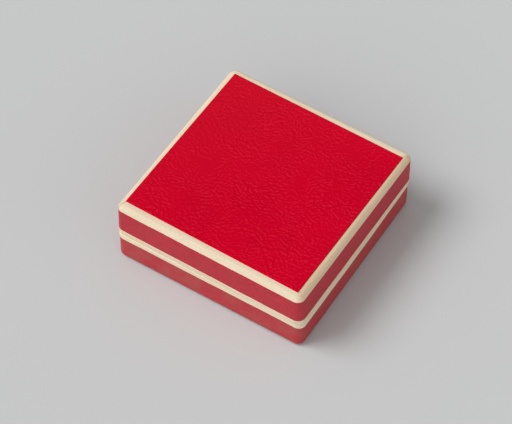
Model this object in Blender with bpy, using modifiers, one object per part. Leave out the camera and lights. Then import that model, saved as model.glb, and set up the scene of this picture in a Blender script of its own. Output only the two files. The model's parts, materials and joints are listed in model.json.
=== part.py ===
"""Square medal presentation case: covered boards, cream paper edges, rolled brass hinge, hidden catch."""
from math import cos, radians, sin, sqrt

import bmesh
import bpy
from mathutils import Matrix, Vector

# Outside sizes of the closed case, in metres
CASE_WIDTH = 0.0800            # left to right, over the cream edging
CASE_DEPTH = 0.0795            # front to back, over the cream edging, without the hinge barrel
CASE_HEIGHT = 0.0295           # table to the top of the red panel
BASE_HEIGHT = 0.01365          # table to the rim of the base
SEAM_GAP = 0.0003              # between the rims of base and lid
CORNER_RADIUS = 0.0030         # upright corners
ROLL_RADIUS = 0.0021           # roll of the lid's top edge
BOTTOM_RADIUS = 0.0013         # lower edge of the base
GLUE_GAP = 0.00015             # between pieces that are pasted together
RUN_GAP = 0.0003               # between pieces that slide past each other

# Covering and edging
COVER_THICKNESS = 0.0005       # red leather over the sides
COVER_TURN_IN = 0.0060         # width of leather turned under the base
EDGING_PROUD = 0.0001          # cream paper stands this far outside the leather
EDGING_THICKNESS = 0.00035     # cream paper over a rim or the top edge
EDGING_LIP_RADIUS = 0.00025    # soft edge of the paper round a rim
EDGING_DROP = 0.00175          # cream paper beside the panel down to its lower edge
BAND_HEIGHT = 0.00215          # cream paper on the side, each half of the seam band
PANEL_PROUD = 0.00035          # red panel above the cream paper beside it
PANEL_MARGIN_SIDE = 0.00265    # red panel's edge to the leather of the left or right side
PANEL_MARGIN_FRONT = 0.0034    # red panel's edge to the leather of the front or back
PANEL_EDGE_RADIUS = 0.0002
PAPER_THICKNESS = 0.0003       # sheet under the base
PAPER_MARGIN = 0.0028          # bare leather round that sheet

# Boards
WALL = 0.0022
FLOOR_BOARD = 0.0016
TOP_BOARD = 0.0020
INNER_CORNER_RADIUS = 0.0003

# Collar in the base and linings in the lid
COLLAR_THICKNESS = 0.0007
COLLAR_RISE = 0.0017           # above the rim of the base
COLLAR_EDGE_RADIUS = 0.0002
LINING_THICKNESS = 0.0005
LINING_START = 0.0018          # rim of the lid to the lower edge of its linings
LEAF_COVER_SPACE = 0.00075     # room for nail heads between a hinge leaf and the strip over it

# Velvet pad with its medal recess
PAD_BELOW_RIM = 0.0006
PAD_EDGE_RADIUS = 0.0010
MEDAL_RECESS_RADIUS = 0.0260
MEDAL_RECESS_DEPTH = 0.0067
RECESS_LIP_RADIUS = 0.0008
THUMB_RADIUS = 0.0080
THUMB_INWARD = 0.0020          # centre of the thumb notch inside the recess's edge
RECESS_DISC_THICKNESS = 0.0006

# Satin cushion in the lid
PAD_CARD_THICKNESS = 0.0008
CUSHION_EDGE = 0.0016          # thickness at its sides
CUSHION_CROWN = 0.0022         # how far its middle swells below its sides
CUSHION_DRAW_IN = 0.0007       # how far its sides pull in between the corners
CUSHION_ROLL = 0.0007          # how far its rim is drawn under

# Hinge: two leaves rolled round one pin
HINGE_LENGTH = 0.0360
LEAF_THICKNESS = 0.00035
PIN_RADIUS = 0.00045
PIN_PLAY = 0.00005
PIN_OVERHANG = 0.0003
KNUCKLE_GAP = 0.00015
AXIS_IN = 0.00015              # hinge axis inside the leather's face: past it the rims' edges meet as a stop
LEAF_BEND_RADIUS = 0.0005
LEAF_FLAP = 0.0070             # along the inside of the wall
LEAF_CORNER_RADIUS = 0.0012

# Nails through the hinge leaves and the catch
NAIL_HEAD_RADIUS = 0.0009
NAIL_HEAD_HEIGHT = 0.0004
NAIL_SHANK_RADIUS = 0.00035
NAIL_LENGTH = 0.0017
NAIL_POINT = 0.0004
NAIL_PLAY = 0.0001
NAIL_SPACING = 0.0125
NAIL_DROP = 0.0040             # hinge axis to the nails' row
RIVET_SHARE = 0.78             # size of a catch rivet against a nail
TACK_SHARE = 0.60              # size of a striker tack against a nail

# Hidden catch at the middle of the front
CATCH_WIDTH = 0.0040
CATCH_THICKNESS = 0.00025
CATCH_START = 0.0012           # floor board to the foot of the spring
CATCH_NIB_RISE = 0.0028        # rim of the base to the point of the nib
CATCH_NIB_REACH = 0.0009       # nib in front of the strip
CATCH_NIB_HALF = 0.0008
CATCH_TIP_RISE = 0.0008        # lead-in above the nib
CATCH_TIP_LEAN = 0.0003
CATCH_RIVET_SPACING = 0.0018
STRIKER_WIDTH = 0.0074
STRIKER_THICKNESS = 0.00035
STRIKER_BELOW = 0.0015         # plate below and above the nib's point
STRIKER_ABOVE = 0.0019
NIB_POCKET = 0.0003            # room round the nib in plate and wall
COLLAR_NOTCH_CLEAR = 0.0008    # beside the spring
LINING_NOTCH_CLEAR = 0.00025   # beside the striker plate
LINING_NOTCH_ABOVE = 0.0005

CUT_OVERRUN = 0.0020           # cutters reach this far past what they cut
MERGE_DISTANCE = 0.000001      # points of a turned piece this close become one

SAME_PLANE_SHARE = 0.001       # of a block's half height, within which points lie in its top or bottom
CUSHION_RIM_SHARE = 0.99       # of a cushion's half width, past which points lie on its rim

CORNER_STEPS = 6
LIP_STEPS = 2
CROWN_STEPS = 3
ROUND_STEPS = 20
RECESS_STEPS = 72
CURL_STEPS = 14
CUSHION_CELLS = 10
KNUCKLES = 5

# Heights and places that follow from the sizes above
HALF_WIDTH = CASE_WIDTH / 2 - EDGING_PROUD
HALF_DEPTH = CASE_DEPTH / 2 - EDGING_PROUD
BARREL_RADIUS = PIN_RADIUS + PIN_PLAY + LEAF_THICKNESS
CASE_Y = -(BARREL_RADIUS - AXIS_IN - EDGING_PROUD) / 2
AXIS_Y = CASE_Y + HALF_DEPTH - AXIS_IN
AXIS_Z = BASE_HEIGHT + SEAM_GAP / 2
LID_RIM_Z = BASE_HEIGHT + SEAM_GAP

BOARD_IN = COVER_THICKNESS + GLUE_GAP
INSIDE_IN = BOARD_IN + WALL
LEAF_IN = INSIDE_IN + GLUE_GAP
COLLAR_IN = INSIDE_IN + RUN_GAP
COLLAR_FACE_IN = COLLAR_IN + COLLAR_THICKNESS
LINING_IN = INSIDE_IN + GLUE_GAP
LINING_FACE_IN = LINING_IN + LINING_THICKNESS
BACK_STRIP_IN = LEAF_IN + LEAF_THICKNESS + LEAF_COVER_SPACE

COVER_LOW_Z = PAPER_THICKNESS + GLUE_GAP
BOARD_LOW_Z = COVER_LOW_Z + COVER_THICKNESS + GLUE_GAP
FLOOR_TOP_Z = BOARD_LOW_Z + FLOOR_BOARD
BASE_BAND_Z = BASE_HEIGHT - BAND_HEIGHT
BASE_WALL_TOP_Z = BASE_HEIGHT - EDGING_THICKNESS - GLUE_GAP
LID_BAND_Z = LID_RIM_Z + BAND_HEIGHT
LID_WALL_LOW_Z = LID_RIM_Z + EDGING_THICKNESS + GLUE_GAP
EDGING_TOP_Z = CASE_HEIGHT - PANEL_PROUD
ROLL_LOW_Z = EDGING_TOP_Z - EDGING_DROP
TOP_BOARD_Z = EDGING_TOP_Z - EDGING_THICKNESS - GLUE_GAP
TOP_BOARD_LOW_Z = TOP_BOARD_Z - TOP_BOARD
LID_WALL_TOP_Z = TOP_BOARD_LOW_Z - GLUE_GAP
PAD_CARD_LOW_Z = TOP_BOARD_LOW_Z - GLUE_GAP - PAD_CARD_THICKNESS
CUSHION_TOP_Z = PAD_CARD_LOW_Z - GLUE_GAP
LINING_LOW_Z = LID_RIM_Z + LINING_START
LINING_TOP_Z = PAD_CARD_LOW_Z - GLUE_GAP
PAD_LOW_Z = FLOOR_TOP_Z + GLUE_GAP
PAD_TOP_Z = BASE_HEIGHT - PAD_BELOW_RIM
RECESS_FLOOR_Z = PAD_TOP_Z - MEDAL_RECESS_DEPTH
NIB_Z = BASE_HEIGHT + CATCH_NIB_RISE

PAD_FRONT_Y = CASE_Y - HALF_DEPTH + COLLAR_FACE_IN + RUN_GAP
PAD_BACK_Y = CASE_Y + HALF_DEPTH - BACK_STRIP_IN - COLLAR_THICKNESS - RUN_GAP
PAD_Y = (PAD_FRONT_Y + PAD_BACK_Y) / 2

LEATHER_RED = ((0.58, 0.010, 0.022), 0.45, 0.0)
SIDE_RED = ((0.50, 0.050, 0.060), 0.60, 0.0)
CREAM = ((0.79, 0.66, 0.47), 0.55, 0.0)
PALE_WOOD = ((0.55, 0.38, 0.21), 0.70, 0.0)
GREY_PAPER = ((0.16, 0.15, 0.14), 0.85, 0.0)
CARD = ((0.42, 0.36, 0.27), 0.85, 0.0)
VELVET = ((0.030, 0.012, 0.060), 0.90, 0.0)
SATIN = ((0.76, 0.70, 0.58), 0.35, 0.0)
BRASS = ((0.72, 0.50, 0.19), 0.30, 1.0)
BRONZE = ((0.60, 0.34, 0.16), 0.32, 1.0)


def empty_scene():
    """Remove everything that the scene holds."""
    for thing in list(bpy.data.objects):
        bpy.data.objects.remove(thing, do_unlink=True)
    for group in list(bpy.data.collections):
        bpy.data.collections.remove(group)


def new_collection(name):
    group = bpy.data.collections.new(name)
    bpy.context.scene.collection.children.link(group)
    return group


def new_anchor(name, place):
    """An empty that carries the pieces of one body."""
    anchor = bpy.data.objects.new(name, None)
    anchor.empty_display_size = CORNER_RADIUS
    anchor.location = place
    PARTS.objects.link(anchor)
    return anchor


def material(name, finish):
    """A plain material: colour, roughness and metallic value."""
    colour, roughness, metallic = finish
    made = bpy.data.materials.new(name)
    made.use_nodes = True
    shader = made.node_tree.nodes["Principled BSDF"]
    shader.inputs["Base Color"].default_value = (*colour, 1.0)
    shader.inputs["Roughness"].default_value = roughness
    shader.inputs["Metallic"].default_value = metallic
    return made


def add_piece(name, shape, place, finish, anchor, turn=(0.0, 0.0, 0.0)):
    """Make a named piece of the case from a bmesh and hang it on the anchor of its body."""
    mesh = bpy.data.meshes.new(name)
    shape.to_mesh(mesh)
    shape.free()
    piece = bpy.data.objects.new(name, mesh)
    piece.location = place
    piece.rotation_euler = turn
    piece.parent = anchor
    piece.matrix_parent_inverse = Matrix.Translation(anchor.location).inverted()
    mesh.materials.append(material(name, finish))
    mesh.shade_smooth()
    mesh.set_sharp_from_angle(angle=radians(32.0))
    PARTS.objects.link(piece)
    return piece


def add_cutter(name, shape, place, turn=(0.0, 0.0, 0.0)):
    """Make a shape that only cuts or limits other pieces."""
    mesh = bpy.data.meshes.new(name)
    shape.to_mesh(mesh)
    shape.free()
    cutter = bpy.data.objects.new(name, mesh)
    cutter.location = place
    cutter.rotation_euler = turn
    cutter.hide_render = True
    cutter.display_type = "WIRE"
    CUTTERS.objects.link(cutter)
    return cutter


def boolean(piece, cutter, operation="DIFFERENCE"):
    modifier = piece.modifiers.new(cutter.name, "BOOLEAN")
    modifier.operation = operation
    modifier.solver = "EXACT"
    modifier.object = cutter


def outline(inset):
    """Half width and half depth of the case's outline, drawn in by inset."""
    return HALF_WIDTH - inset, HALF_DEPTH - inset


def box(size):
    """A plain block of the given size, centred on its origin."""
    shape = bmesh.new()
    bmesh.ops.create_cube(shape, size=1.0)
    bmesh.ops.scale(shape, vec=size, verts=shape.verts)
    return shape


def edges_where(shape, test):
    return [edge for edge in shape.edges if all(test(vert.co) for vert in edge.verts)]


def upright_edges(shape):
    chosen = []
    for edge in shape.edges:
        along = edge.verts[0].co - edge.verts[1].co
        if abs(along.z) > abs(along.x) + abs(along.y):
            chosen.append(edge)
    return chosen


def bevel(shape, edges, radius, steps):
    bmesh.ops.bevel(shape, geom=edges, offset=radius, offset_type="OFFSET", segments=steps,
                    profile=0.5, affect="EDGES", clamp_overlap=False, loop_slide=True)


def rim_steps(radius):
    """How many steps round a top or bottom edge of this radius."""
    return CORNER_STEPS if radius > INNER_CORNER_RADIUS * 2 else LIP_STEPS


def rounded_box(size, corner=0.0, top=0.0, bottom=0.0):
    """A block with rounded upright corners, top edge and bottom edge."""
    shape = box(size)
    high = size[2] / 2
    near = high * SAME_PLANE_SHARE
    uprights = upright_edges(shape)
    if corner and top == corner:
        rim = edges_where(shape, lambda point: point.z > high - near)
        bevel(shape, uprights + rim, corner, CORNER_STEPS)
    else:
        if corner:
            bevel(shape, uprights, corner, CORNER_STEPS)
        if top:
            bevel(shape, edges_where(shape, lambda point: point.z > high - near), top, rim_steps(top))
    if bottom:
        bevel(shape, edges_where(shape, lambda point: point.z < near - high), bottom, rim_steps(bottom))
    return shape


def case_block(inset, low, high, top=0.0, bottom=0.0):
    """A block with the case's outline drawn in by inset, and the height of its middle."""
    half_width, half_depth = outline(inset)
    corner = max(CORNER_RADIUS - inset, INNER_CORNER_RADIUS)
    shape = rounded_box((2 * half_width, 2 * half_depth, high - low), corner, top, bottom)
    return shape, (0.0, CASE_Y, (low + high) / 2)


def case_cutter(name, inset, low, high, bottom=0.0):
    """A cutter with the case's outline drawn in by inset."""
    shape, place = case_block(inset, low, high, 0.0, bottom)
    return add_cutter(name, shape, place)


def span_box(lows, highs):
    """Shape and place of a block between two corners."""
    size = tuple(high - low for low, high in zip(lows, highs))
    place = tuple((low + high) / 2 for low, high in zip(lows, highs))
    return box(size), place


def cylinder(radius, length, steps):
    """A closed cylinder along Z."""
    shape = bmesh.new()
    bmesh.ops.create_cone(shape, cap_ends=True, segments=steps, radius1=radius, radius2=radius,
                          depth=length)
    return shape


def profile_mesh(points):
    """An open row of points joined by edges, in the XZ plane."""
    shape = bmesh.new()
    row = [shape.verts.new((across, 0.0, up)) for across, up in points]
    for start, end in zip(row, row[1:]):
        shape.edges.new((start, end))
    return shape


def turned(piece, steps):
    """Turn a piece's profile about its own Z axis."""
    screw = piece.modifiers.new("turn", "SCREW")
    screw.axis = "Z"
    screw.steps = steps
    screw.render_steps = steps
    screw.use_merge_vertices = True
    screw.merge_threshold = MERGE_DISTANCE
    screw.use_smooth_shade = True


def arc(centre, radius, start, end, steps):
    """Points on an arc in a plane, from angle start to angle end."""
    points = []
    for step in range(steps + 1):
        angle = start + (end - start) * step / steps
        points.append((centre[0] + radius * cos(angle), centre[1] + radius * sin(angle)))
    return points


def folded_sheet(points, width):
    """A sheet of no thickness: a row of (y, z) points carried across in X."""
    shape = bmesh.new()
    row = [shape.verts.new((-width / 2, along, up)) for along, up in points]
    for start, end in zip(row, row[1:]):
        shape.edges.new((start, end))
    made = bmesh.ops.extrude_edge_only(shape, edges=shape.edges[:])
    moved = [item for item in made["geom"] if isinstance(item, bmesh.types.BMVert)]
    bmesh.ops.translate(shape, vec=(width, 0.0, 0.0), verts=moved)
    return shape


def thicken(piece, thickness):
    """Give a sheet its thickness, half to each side."""
    solid = piece.modifiers.new("thickness", "SOLIDIFY")
    solid.thickness = thickness
    solid.offset = 0.0
    solid.use_even_offset = True


def wedge_cutter(name, side, low, high):
    """The sector of the case that one mitred wall stands in."""
    half_width, half_depth = outline(0.0)
    ahead = Vector({"front": (0, -1), "back": (0, 1), "left": (-1, 0), "right": (1, 0)}[side])
    reach, across = (half_width, half_depth) if ahead.x else (half_depth, half_width)
    half_diagonal = across + CUT_OVERRUN * 2
    apart = reach - across + half_diagonal + GLUE_GAP / sqrt(2)
    edge = half_diagonal * sqrt(2)
    shape = box((edge, edge, high - low))
    place = (ahead.x * apart, CASE_Y + ahead.y * apart, (low + high) / 2)
    return add_cutter(name, shape, place, (0.0, 0.0, radians(45.0)))


def add_walls(prefix, low, high, anchor, bottom=0.0):
    """Four mitred boards that stand round one half of the case."""
    hollow = case_cutter(prefix + "_hollow", INSIDE_IN, low - CUT_OVERRUN, high + CUT_OVERRUN)
    walls = {}
    for side in ("front", "back", "left", "right"):
        shape, place = case_block(BOARD_IN, low, high, 0.0, bottom)
        wall = add_piece(prefix + "_" + side + "_wall", shape, place, PALE_WOOD, anchor)
        boolean(wall, hollow)
        sector = wedge_cutter(prefix + "_" + side + "_sector", side, low - CUT_OVERRUN,
                              high + CUT_OVERRUN)
        boolean(wall, sector, "INTERSECT")
        walls[side] = wall
    return walls


def add_rim_edging(name, rim, other, anchor):
    """Cream paper round a rim: a leg on the side of the case and a leg over the wall's edge."""
    low, high = min(rim, other), max(rim, other)
    upward = rim > other
    lip_top = EDGING_LIP_RADIUS if upward else 0.0
    lip_bottom = 0.0 if upward else EDGING_LIP_RADIUS
    shape, place = case_block(-EDGING_PROUD, low, high, lip_top, lip_bottom)
    edging = add_piece(name, shape, place, CREAM, anchor)
    if upward:
        under = case_cutter(name + "_under", COVER_THICKNESS, low - CUT_OVERRUN,
                            high - EDGING_THICKNESS)
    else:
        under = case_cutter(name + "_under", COVER_THICKNESS, low + EDGING_THICKNESS,
                            high + CUT_OVERRUN)
    inside = case_cutter(name + "_inside", INSIDE_IN, low - CUT_OVERRUN, high + CUT_OVERRUN)
    boolean(edging, under)
    boolean(edging, inside)
    return edging


def add_base_shell(anchor):
    """Floor, walls, leather, edging and the sheet under the base."""
    half_width, half_depth = outline(PAPER_MARGIN)
    shape = rounded_box((2 * half_width, 2 * half_depth, PAPER_THICKNESS), CORNER_RADIUS)
    add_piece("base_underside_paper", shape, (0.0, CASE_Y, PAPER_THICKNESS / 2), GREY_PAPER, anchor)

    shape, place = case_block(0.0, COVER_LOW_Z, BASE_BAND_Z - GLUE_GAP, 0.0, BOTTOM_RADIUS)
    leather = add_piece("base_side_leather", shape, place, SIDE_RED, anchor)
    boolean(leather, case_cutter("base_leather_inside", COVER_THICKNESS, COVER_LOW_Z + COVER_THICKNESS,
                                 BASE_BAND_Z + CUT_OVERRUN, BOTTOM_RADIUS - COVER_THICKNESS))
    boolean(leather, case_cutter("base_leather_window", COVER_TURN_IN, -CUT_OVERRUN, BASE_HEIGHT))

    half_width, half_depth = outline(INSIDE_IN + GLUE_GAP)
    shape = rounded_box((2 * half_width, 2 * half_depth, FLOOR_BOARD), INNER_CORNER_RADIUS)
    add_piece("base_floor_board", shape, (0.0, CASE_Y, (BOARD_LOW_Z + FLOOR_TOP_Z) / 2), PALE_WOOD, anchor)

    walls = add_walls("base", BOARD_LOW_Z, BASE_WALL_TOP_Z, anchor,
                      BOTTOM_RADIUS - COVER_THICKNESS - GLUE_GAP)
    edging = add_rim_edging("base_rim_edging", BASE_HEIGHT, BASE_BAND_Z, anchor)
    return walls, edging


def add_lid_shell(anchor):
    """Top board, walls, leather, panel and edgings of the lid."""
    shape, place = case_block(BOARD_IN, TOP_BOARD_LOW_Z, TOP_BOARD_Z, ROLL_RADIUS - BOARD_IN)
    add_piece("lid_top_board", shape, place, PALE_WOOD, anchor)
    walls = add_walls("lid", LID_WALL_LOW_Z, LID_WALL_TOP_Z, anchor)

    leather_low = LID_BAND_Z + GLUE_GAP
    leather_high = ROLL_LOW_Z - GLUE_GAP
    shape, place = case_block(0.0, leather_low, leather_high)
    leather = add_piece("lid_side_leather", shape, place, SIDE_RED, anchor)
    boolean(leather, case_cutter("lid_leather_inside", COVER_THICKNESS, leather_low - CUT_OVERRUN,
                                 leather_high + CUT_OVERRUN))

    edging = add_rim_edging("lid_rim_edging", LID_RIM_Z, LID_BAND_Z, anchor)
    add_top_edging(anchor)
    half_width = HALF_WIDTH - PANEL_MARGIN_SIDE
    half_depth = HALF_DEPTH - PANEL_MARGIN_FRONT
    panel_low = TOP_BOARD_Z + GLUE_GAP
    shape = rounded_box((2 * half_width, 2 * half_depth, CASE_HEIGHT - panel_low), 0.0, PANEL_EDGE_RADIUS)
    place = (0.0, CASE_Y, (panel_low + CASE_HEIGHT) / 2)
    add_piece("lid_top_panel", shape, place, LEATHER_RED, anchor)
    return walls, edging


def add_top_edging(anchor):
    """Cream paper that runs out from the red panel and rolls over the lid's top edge."""
    half_width, half_depth = outline(-EDGING_PROUD)
    roll = ROLL_RADIUS + EDGING_PROUD
    body = EDGING_TOP_Z - ROLL_LOW_Z + roll
    shape = rounded_box((2 * half_width, 2 * half_depth, body), CORNER_RADIUS + EDGING_PROUD, roll)
    edging = add_piece("lid_top_edging", shape, (0.0, CASE_Y, EDGING_TOP_Z - body / 2), CREAM, anchor)
    below, place = span_box((-CASE_WIDTH, CASE_Y - CASE_DEPTH, ROLL_LOW_Z - CASE_HEIGHT),
                            (CASE_WIDTH, CASE_Y + CASE_DEPTH, ROLL_LOW_Z))
    boolean(edging, add_cutter("top_edging_below", below, place))
    half_width, half_depth = outline(EDGING_THICKNESS)
    inner_top = EDGING_TOP_Z - EDGING_THICKNESS
    inner_low = ROLL_LOW_Z - CUT_OVERRUN
    inner = rounded_box((2 * half_width, 2 * half_depth, inner_top - inner_low),
                        CORNER_RADIUS - EDGING_THICKNESS, ROLL_RADIUS - EDGING_THICKNESS)
    boolean(edging, add_cutter("top_edging_inside", inner, (0.0, CASE_Y, (inner_top + inner_low) / 2)))
    reach_x = HALF_WIDTH - PANEL_MARGIN_SIDE + GLUE_GAP
    reach_y = HALF_DEPTH - PANEL_MARGIN_FRONT + GLUE_GAP
    window, place = span_box((-reach_x, CASE_Y - reach_y, inner_low),
                             (reach_x, CASE_Y + reach_y, CASE_HEIGHT))
    boolean(edging, add_cutter("top_edging_window", window, place))


def strip(name, lows, highs, finish, anchor, edge_radius=0.0):
    """A straight strip between two corners, with its top edge eased."""
    size = tuple(high - low for low, high in zip(lows, highs))
    place = tuple((low + high) / 2 for low, high in zip(lows, highs))
    return add_piece(name, rounded_box(size, 0.0, edge_radius), place, finish, anchor)


def add_collar(anchor):
    """Strips inside the base: three rise above its rim to guide the lid, one hides the hinge leaf."""
    top = BASE_HEIGHT + COLLAR_RISE
    side_x = HALF_WIDTH - COLLAR_IN
    front_y = CASE_Y - HALF_DEPTH + COLLAR_IN
    back_y = CASE_Y + HALF_DEPTH - BACK_STRIP_IN
    front = strip("collar_front", (-side_x, front_y, PAD_LOW_Z),
                  (side_x, front_y + COLLAR_THICKNESS, top), CREAM, anchor, COLLAR_EDGE_RADIUS)
    notch_half = CATCH_WIDTH / 2 + COLLAR_NOTCH_CLEAR
    notch, place = span_box((-notch_half, front_y - CUT_OVERRUN, FLOOR_TOP_Z + CATCH_START - RUN_GAP),
                            (notch_half, front_y + CUT_OVERRUN, top + CUT_OVERRUN))
    boolean(front, add_cutter("collar_notch", notch, place))
    start_y = front_y + COLLAR_THICKNESS + GLUE_GAP
    end_y = back_y - COLLAR_THICKNESS - GLUE_GAP
    for side, sign in (("left", -1), ("right", 1)):
        outer = sign * side_x
        inner = sign * (side_x - COLLAR_THICKNESS)
        strip("collar_" + side, (min(outer, inner), start_y, PAD_LOW_Z), (max(outer, inner), end_y, top),
              CREAM, anchor, COLLAR_EDGE_RADIUS)
    strip("base_back_lining", (-side_x, back_y - COLLAR_THICKNESS, PAD_LOW_Z), (side_x, back_y, PAD_TOP_Z),
          CREAM, anchor, COLLAR_EDGE_RADIUS)


def add_linings(anchor):
    """Satin strips that line the walls of the lid."""
    side_x = HALF_WIDTH - LINING_IN
    front_y = CASE_Y - HALF_DEPTH + LINING_IN
    back_y = CASE_Y + HALF_DEPTH - BACK_STRIP_IN
    front = strip("lid_front_lining", (-side_x, front_y, LINING_LOW_Z),
                  (side_x, front_y + LINING_THICKNESS, LINING_TOP_Z), SATIN, anchor)
    notch_top = NIB_Z + STRIKER_ABOVE + LINING_NOTCH_ABOVE
    notch_half = STRIKER_WIDTH / 2 + LINING_NOTCH_CLEAR
    notch, place = span_box((-notch_half, front_y - CUT_OVERRUN, LINING_LOW_Z - CUT_OVERRUN),
                            (notch_half, front_y + CUT_OVERRUN, notch_top))
    boolean(front, add_cutter("lining_notch", notch, place))
    start_y = front_y + LINING_THICKNESS + GLUE_GAP
    end_y = back_y - LINING_THICKNESS - GLUE_GAP
    for side, sign in (("left", -1), ("right", 1)):
        outer = sign * side_x
        inner = sign * (side_x - LINING_THICKNESS)
        strip("lid_" + side + "_lining", (min(outer, inner), start_y, LINING_LOW_Z),
              (max(outer, inner), end_y, LINING_TOP_Z), SATIN, anchor)
    strip("lid_back_lining", (-side_x, back_y - LINING_THICKNESS, LINING_LOW_Z),
          (side_x, back_y, LINING_TOP_Z), SATIN, anchor)


def add_velvet_pad(anchor):
    """Velvet-covered block with a round recess for the medal and a notch for the thumb."""
    half_width = HALF_WIDTH - COLLAR_FACE_IN - RUN_GAP
    size = (2 * half_width, PAD_BACK_Y - PAD_FRONT_Y, PAD_TOP_Z - PAD_LOW_Z)
    place = (0.0, PAD_Y, (PAD_LOW_Z + PAD_TOP_Z) / 2)
    shape = rounded_box(size, PAD_EDGE_RADIUS, PAD_EDGE_RADIUS)
    pad = add_piece("velvet_pad", shape, place, VELVET, anchor)
    boolean(pad, recess_cutter("medal_recess", MEDAL_RECESS_RADIUS, 0.0, RECESS_STEPS))
    boolean(pad, recess_cutter("thumb_notch", THUMB_RADIUS, MEDAL_RECESS_RADIUS - THUMB_INWARD,
                               RECESS_STEPS // 2))
    disc_radius = MEDAL_RECESS_RADIUS - RUN_GAP
    disc = cylinder(disc_radius, RECESS_DISC_THICKNESS, RECESS_STEPS)
    disc_z = RECESS_FLOOR_Z + GLUE_GAP + RECESS_DISC_THICKNESS / 2
    add_piece("recess_floor_disc", disc, (0.0, PAD_Y, disc_z), VELVET, anchor)


def recess_cutter(name, radius, forward, steps):
    """A turned cutter with a rolled mouth at the pad's top."""
    lip = RECESS_LIP_RADIUS
    above = PAD_TOP_Z + CUT_OVERRUN
    mouth = arc((radius + lip, PAD_TOP_Z - lip), lip, radians(90.0), radians(180.0), LIP_STEPS + 1)
    points = [(0.0, above), (radius + lip, above)] + mouth + [(radius, RECESS_FLOOR_Z), (0.0, RECESS_FLOOR_Z)]
    cutter = add_cutter(name, profile_mesh(points), (0.0, PAD_Y - forward, 0.0))
    turned(cutter, steps)
    return cutter


def add_lid_cushion(anchor):
    """Card and the crowned satin cushion that hangs from it over the medal."""
    half_width = HALF_WIDTH - LINING_FACE_IN - RUN_GAP
    front_y = CASE_Y - HALF_DEPTH + LINING_FACE_IN + RUN_GAP
    back_y = CASE_Y + HALF_DEPTH - BACK_STRIP_IN - LINING_THICKNESS - RUN_GAP
    middle_y = (front_y + back_y) / 2
    size = (2 * half_width, back_y - front_y, PAD_CARD_THICKNESS)
    place = (0.0, middle_y, PAD_CARD_LOW_Z + PAD_CARD_THICKNESS / 2)
    add_piece("lid_pad_card", box(size), place, CARD, anchor)
    shape = cushion(half_width - RUN_GAP, (back_y - front_y) / 2 - RUN_GAP)
    pad = add_piece("lid_satin_cushion", shape, (0.0, middle_y, CUSHION_TOP_Z), SATIN, anchor)
    smooth = pad.modifiers.new("rounded", "SUBSURF")
    smooth.levels = 1
    smooth.render_levels = 1


def cushion(half_x, half_y):
    """Cage of a cushion whose flat back is at z 0 and whose face swells downwards."""
    shape = bmesh.new()
    bmesh.ops.create_grid(shape, x_segments=CUSHION_CELLS, y_segments=CUSHION_CELLS, size=1.0)
    made = bmesh.ops.extrude_face_region(shape, geom=shape.faces[:])
    back = {item for item in made["geom"] if isinstance(item, bmesh.types.BMVert)}
    for vert in shape.verts:
        across, along = vert.co.x, vert.co.y
        drawn = CUSHION_DRAW_IN * (1 - along * along) * across
        drawn_y = CUSHION_DRAW_IN * (1 - across * across) * along
        vert.co.x = half_x * across - drawn
        vert.co.y = half_y * along - drawn_y
        swell = sqrt(max(0.0, (1 - across ** 4) * (1 - along ** 4)))
        if vert in back:
            vert.co.z = 0.0
        else:
            vert.co.z = -CUSHION_EDGE - CUSHION_CROWN * swell
            if max(abs(across), abs(along)) > CUSHION_RIM_SHARE:
                vert.co.x -= CUSHION_ROLL * across
                vert.co.y -= CUSHION_ROLL * along
    bmesh.ops.recalc_face_normals(shape, faces=shape.faces)
    return shape


def leaf_points(sign):
    """A hinge leaf's middle line about the pin: flap, bend, rim and the curl round the pin."""
    middle = PIN_RADIUS + PIN_PLAY + LEAF_THICKNESS / 2
    back = LEAF_IN - AXIS_IN + LEAF_THICKNESS / 2
    bend = arc((LEAF_BEND_RADIUS - back, middle + LEAF_BEND_RADIUS), LEAF_BEND_RADIUS,
               radians(180.0), radians(270.0), LIP_STEPS + 2)
    curl = arc((0.0, 0.0), middle, radians(90.0), radians(-165.0), CURL_STEPS)
    points = [(-back, middle + LEAF_FLAP)] + bend + curl
    return [(along, sign * up) for along, up in points]


def round_flap(shape, sign):
    """Round the two free corners of a hinge leaf's flap."""
    edge = max(sign * vert.co.z for vert in shape.verts)
    corners = [vert for vert in shape.verts if sign * vert.co.z > edge - LEAF_CORNER_RADIUS]
    bmesh.ops.bevel(shape, geom=corners, offset=LEAF_CORNER_RADIUS, offset_type="OFFSET",
                    segments=ROUND_STEPS // 4, profile=0.5, affect="VERTICES", clamp_overlap=False)


def knuckle_cutters(owner, odd):
    """Blocks that take away the knuckles that belong to the other leaf."""
    pitch = HINGE_LENGTH / KNUCKLES
    reach = BARREL_RADIUS + RUN_GAP
    cutters = []
    for place in range(KNUCKLES):
        if (place % 2 == 1) == odd:
            continue
        start = -HINGE_LENGTH / 2 + place * pitch
        low = start - (KNUCKLE_GAP if place > 0 else CUT_OVERRUN)
        high = start + pitch + (KNUCKLE_GAP if place < KNUCKLES - 1 else CUT_OVERRUN)
        shape, middle = span_box((low, AXIS_Y - reach, AXIS_Z - reach),
                                 (high, AXIS_Y + reach, AXIS_Z + reach))
        cutters.append(add_cutter(owner + "_gap_" + str(place), shape, middle))
    return cutters


def nail_shape(size):
    """Profile of a round-headed nail, head up, the underside of the head at z 0."""
    head = NAIL_HEAD_RADIUS * size
    shank = NAIL_SHANK_RADIUS * size
    length = NAIL_LENGTH * size
    round_over = arc((0.0, 0.0), 1.0, radians(90.0), 0.0, CROWN_STEPS)
    crown = [(head * across, NAIL_HEAD_HEIGHT * size * up) for across, up in round_over]
    return profile_mesh(crown + [(shank, 0.0), (shank, NAIL_POINT * size - length), (0.0, -length)])


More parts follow.
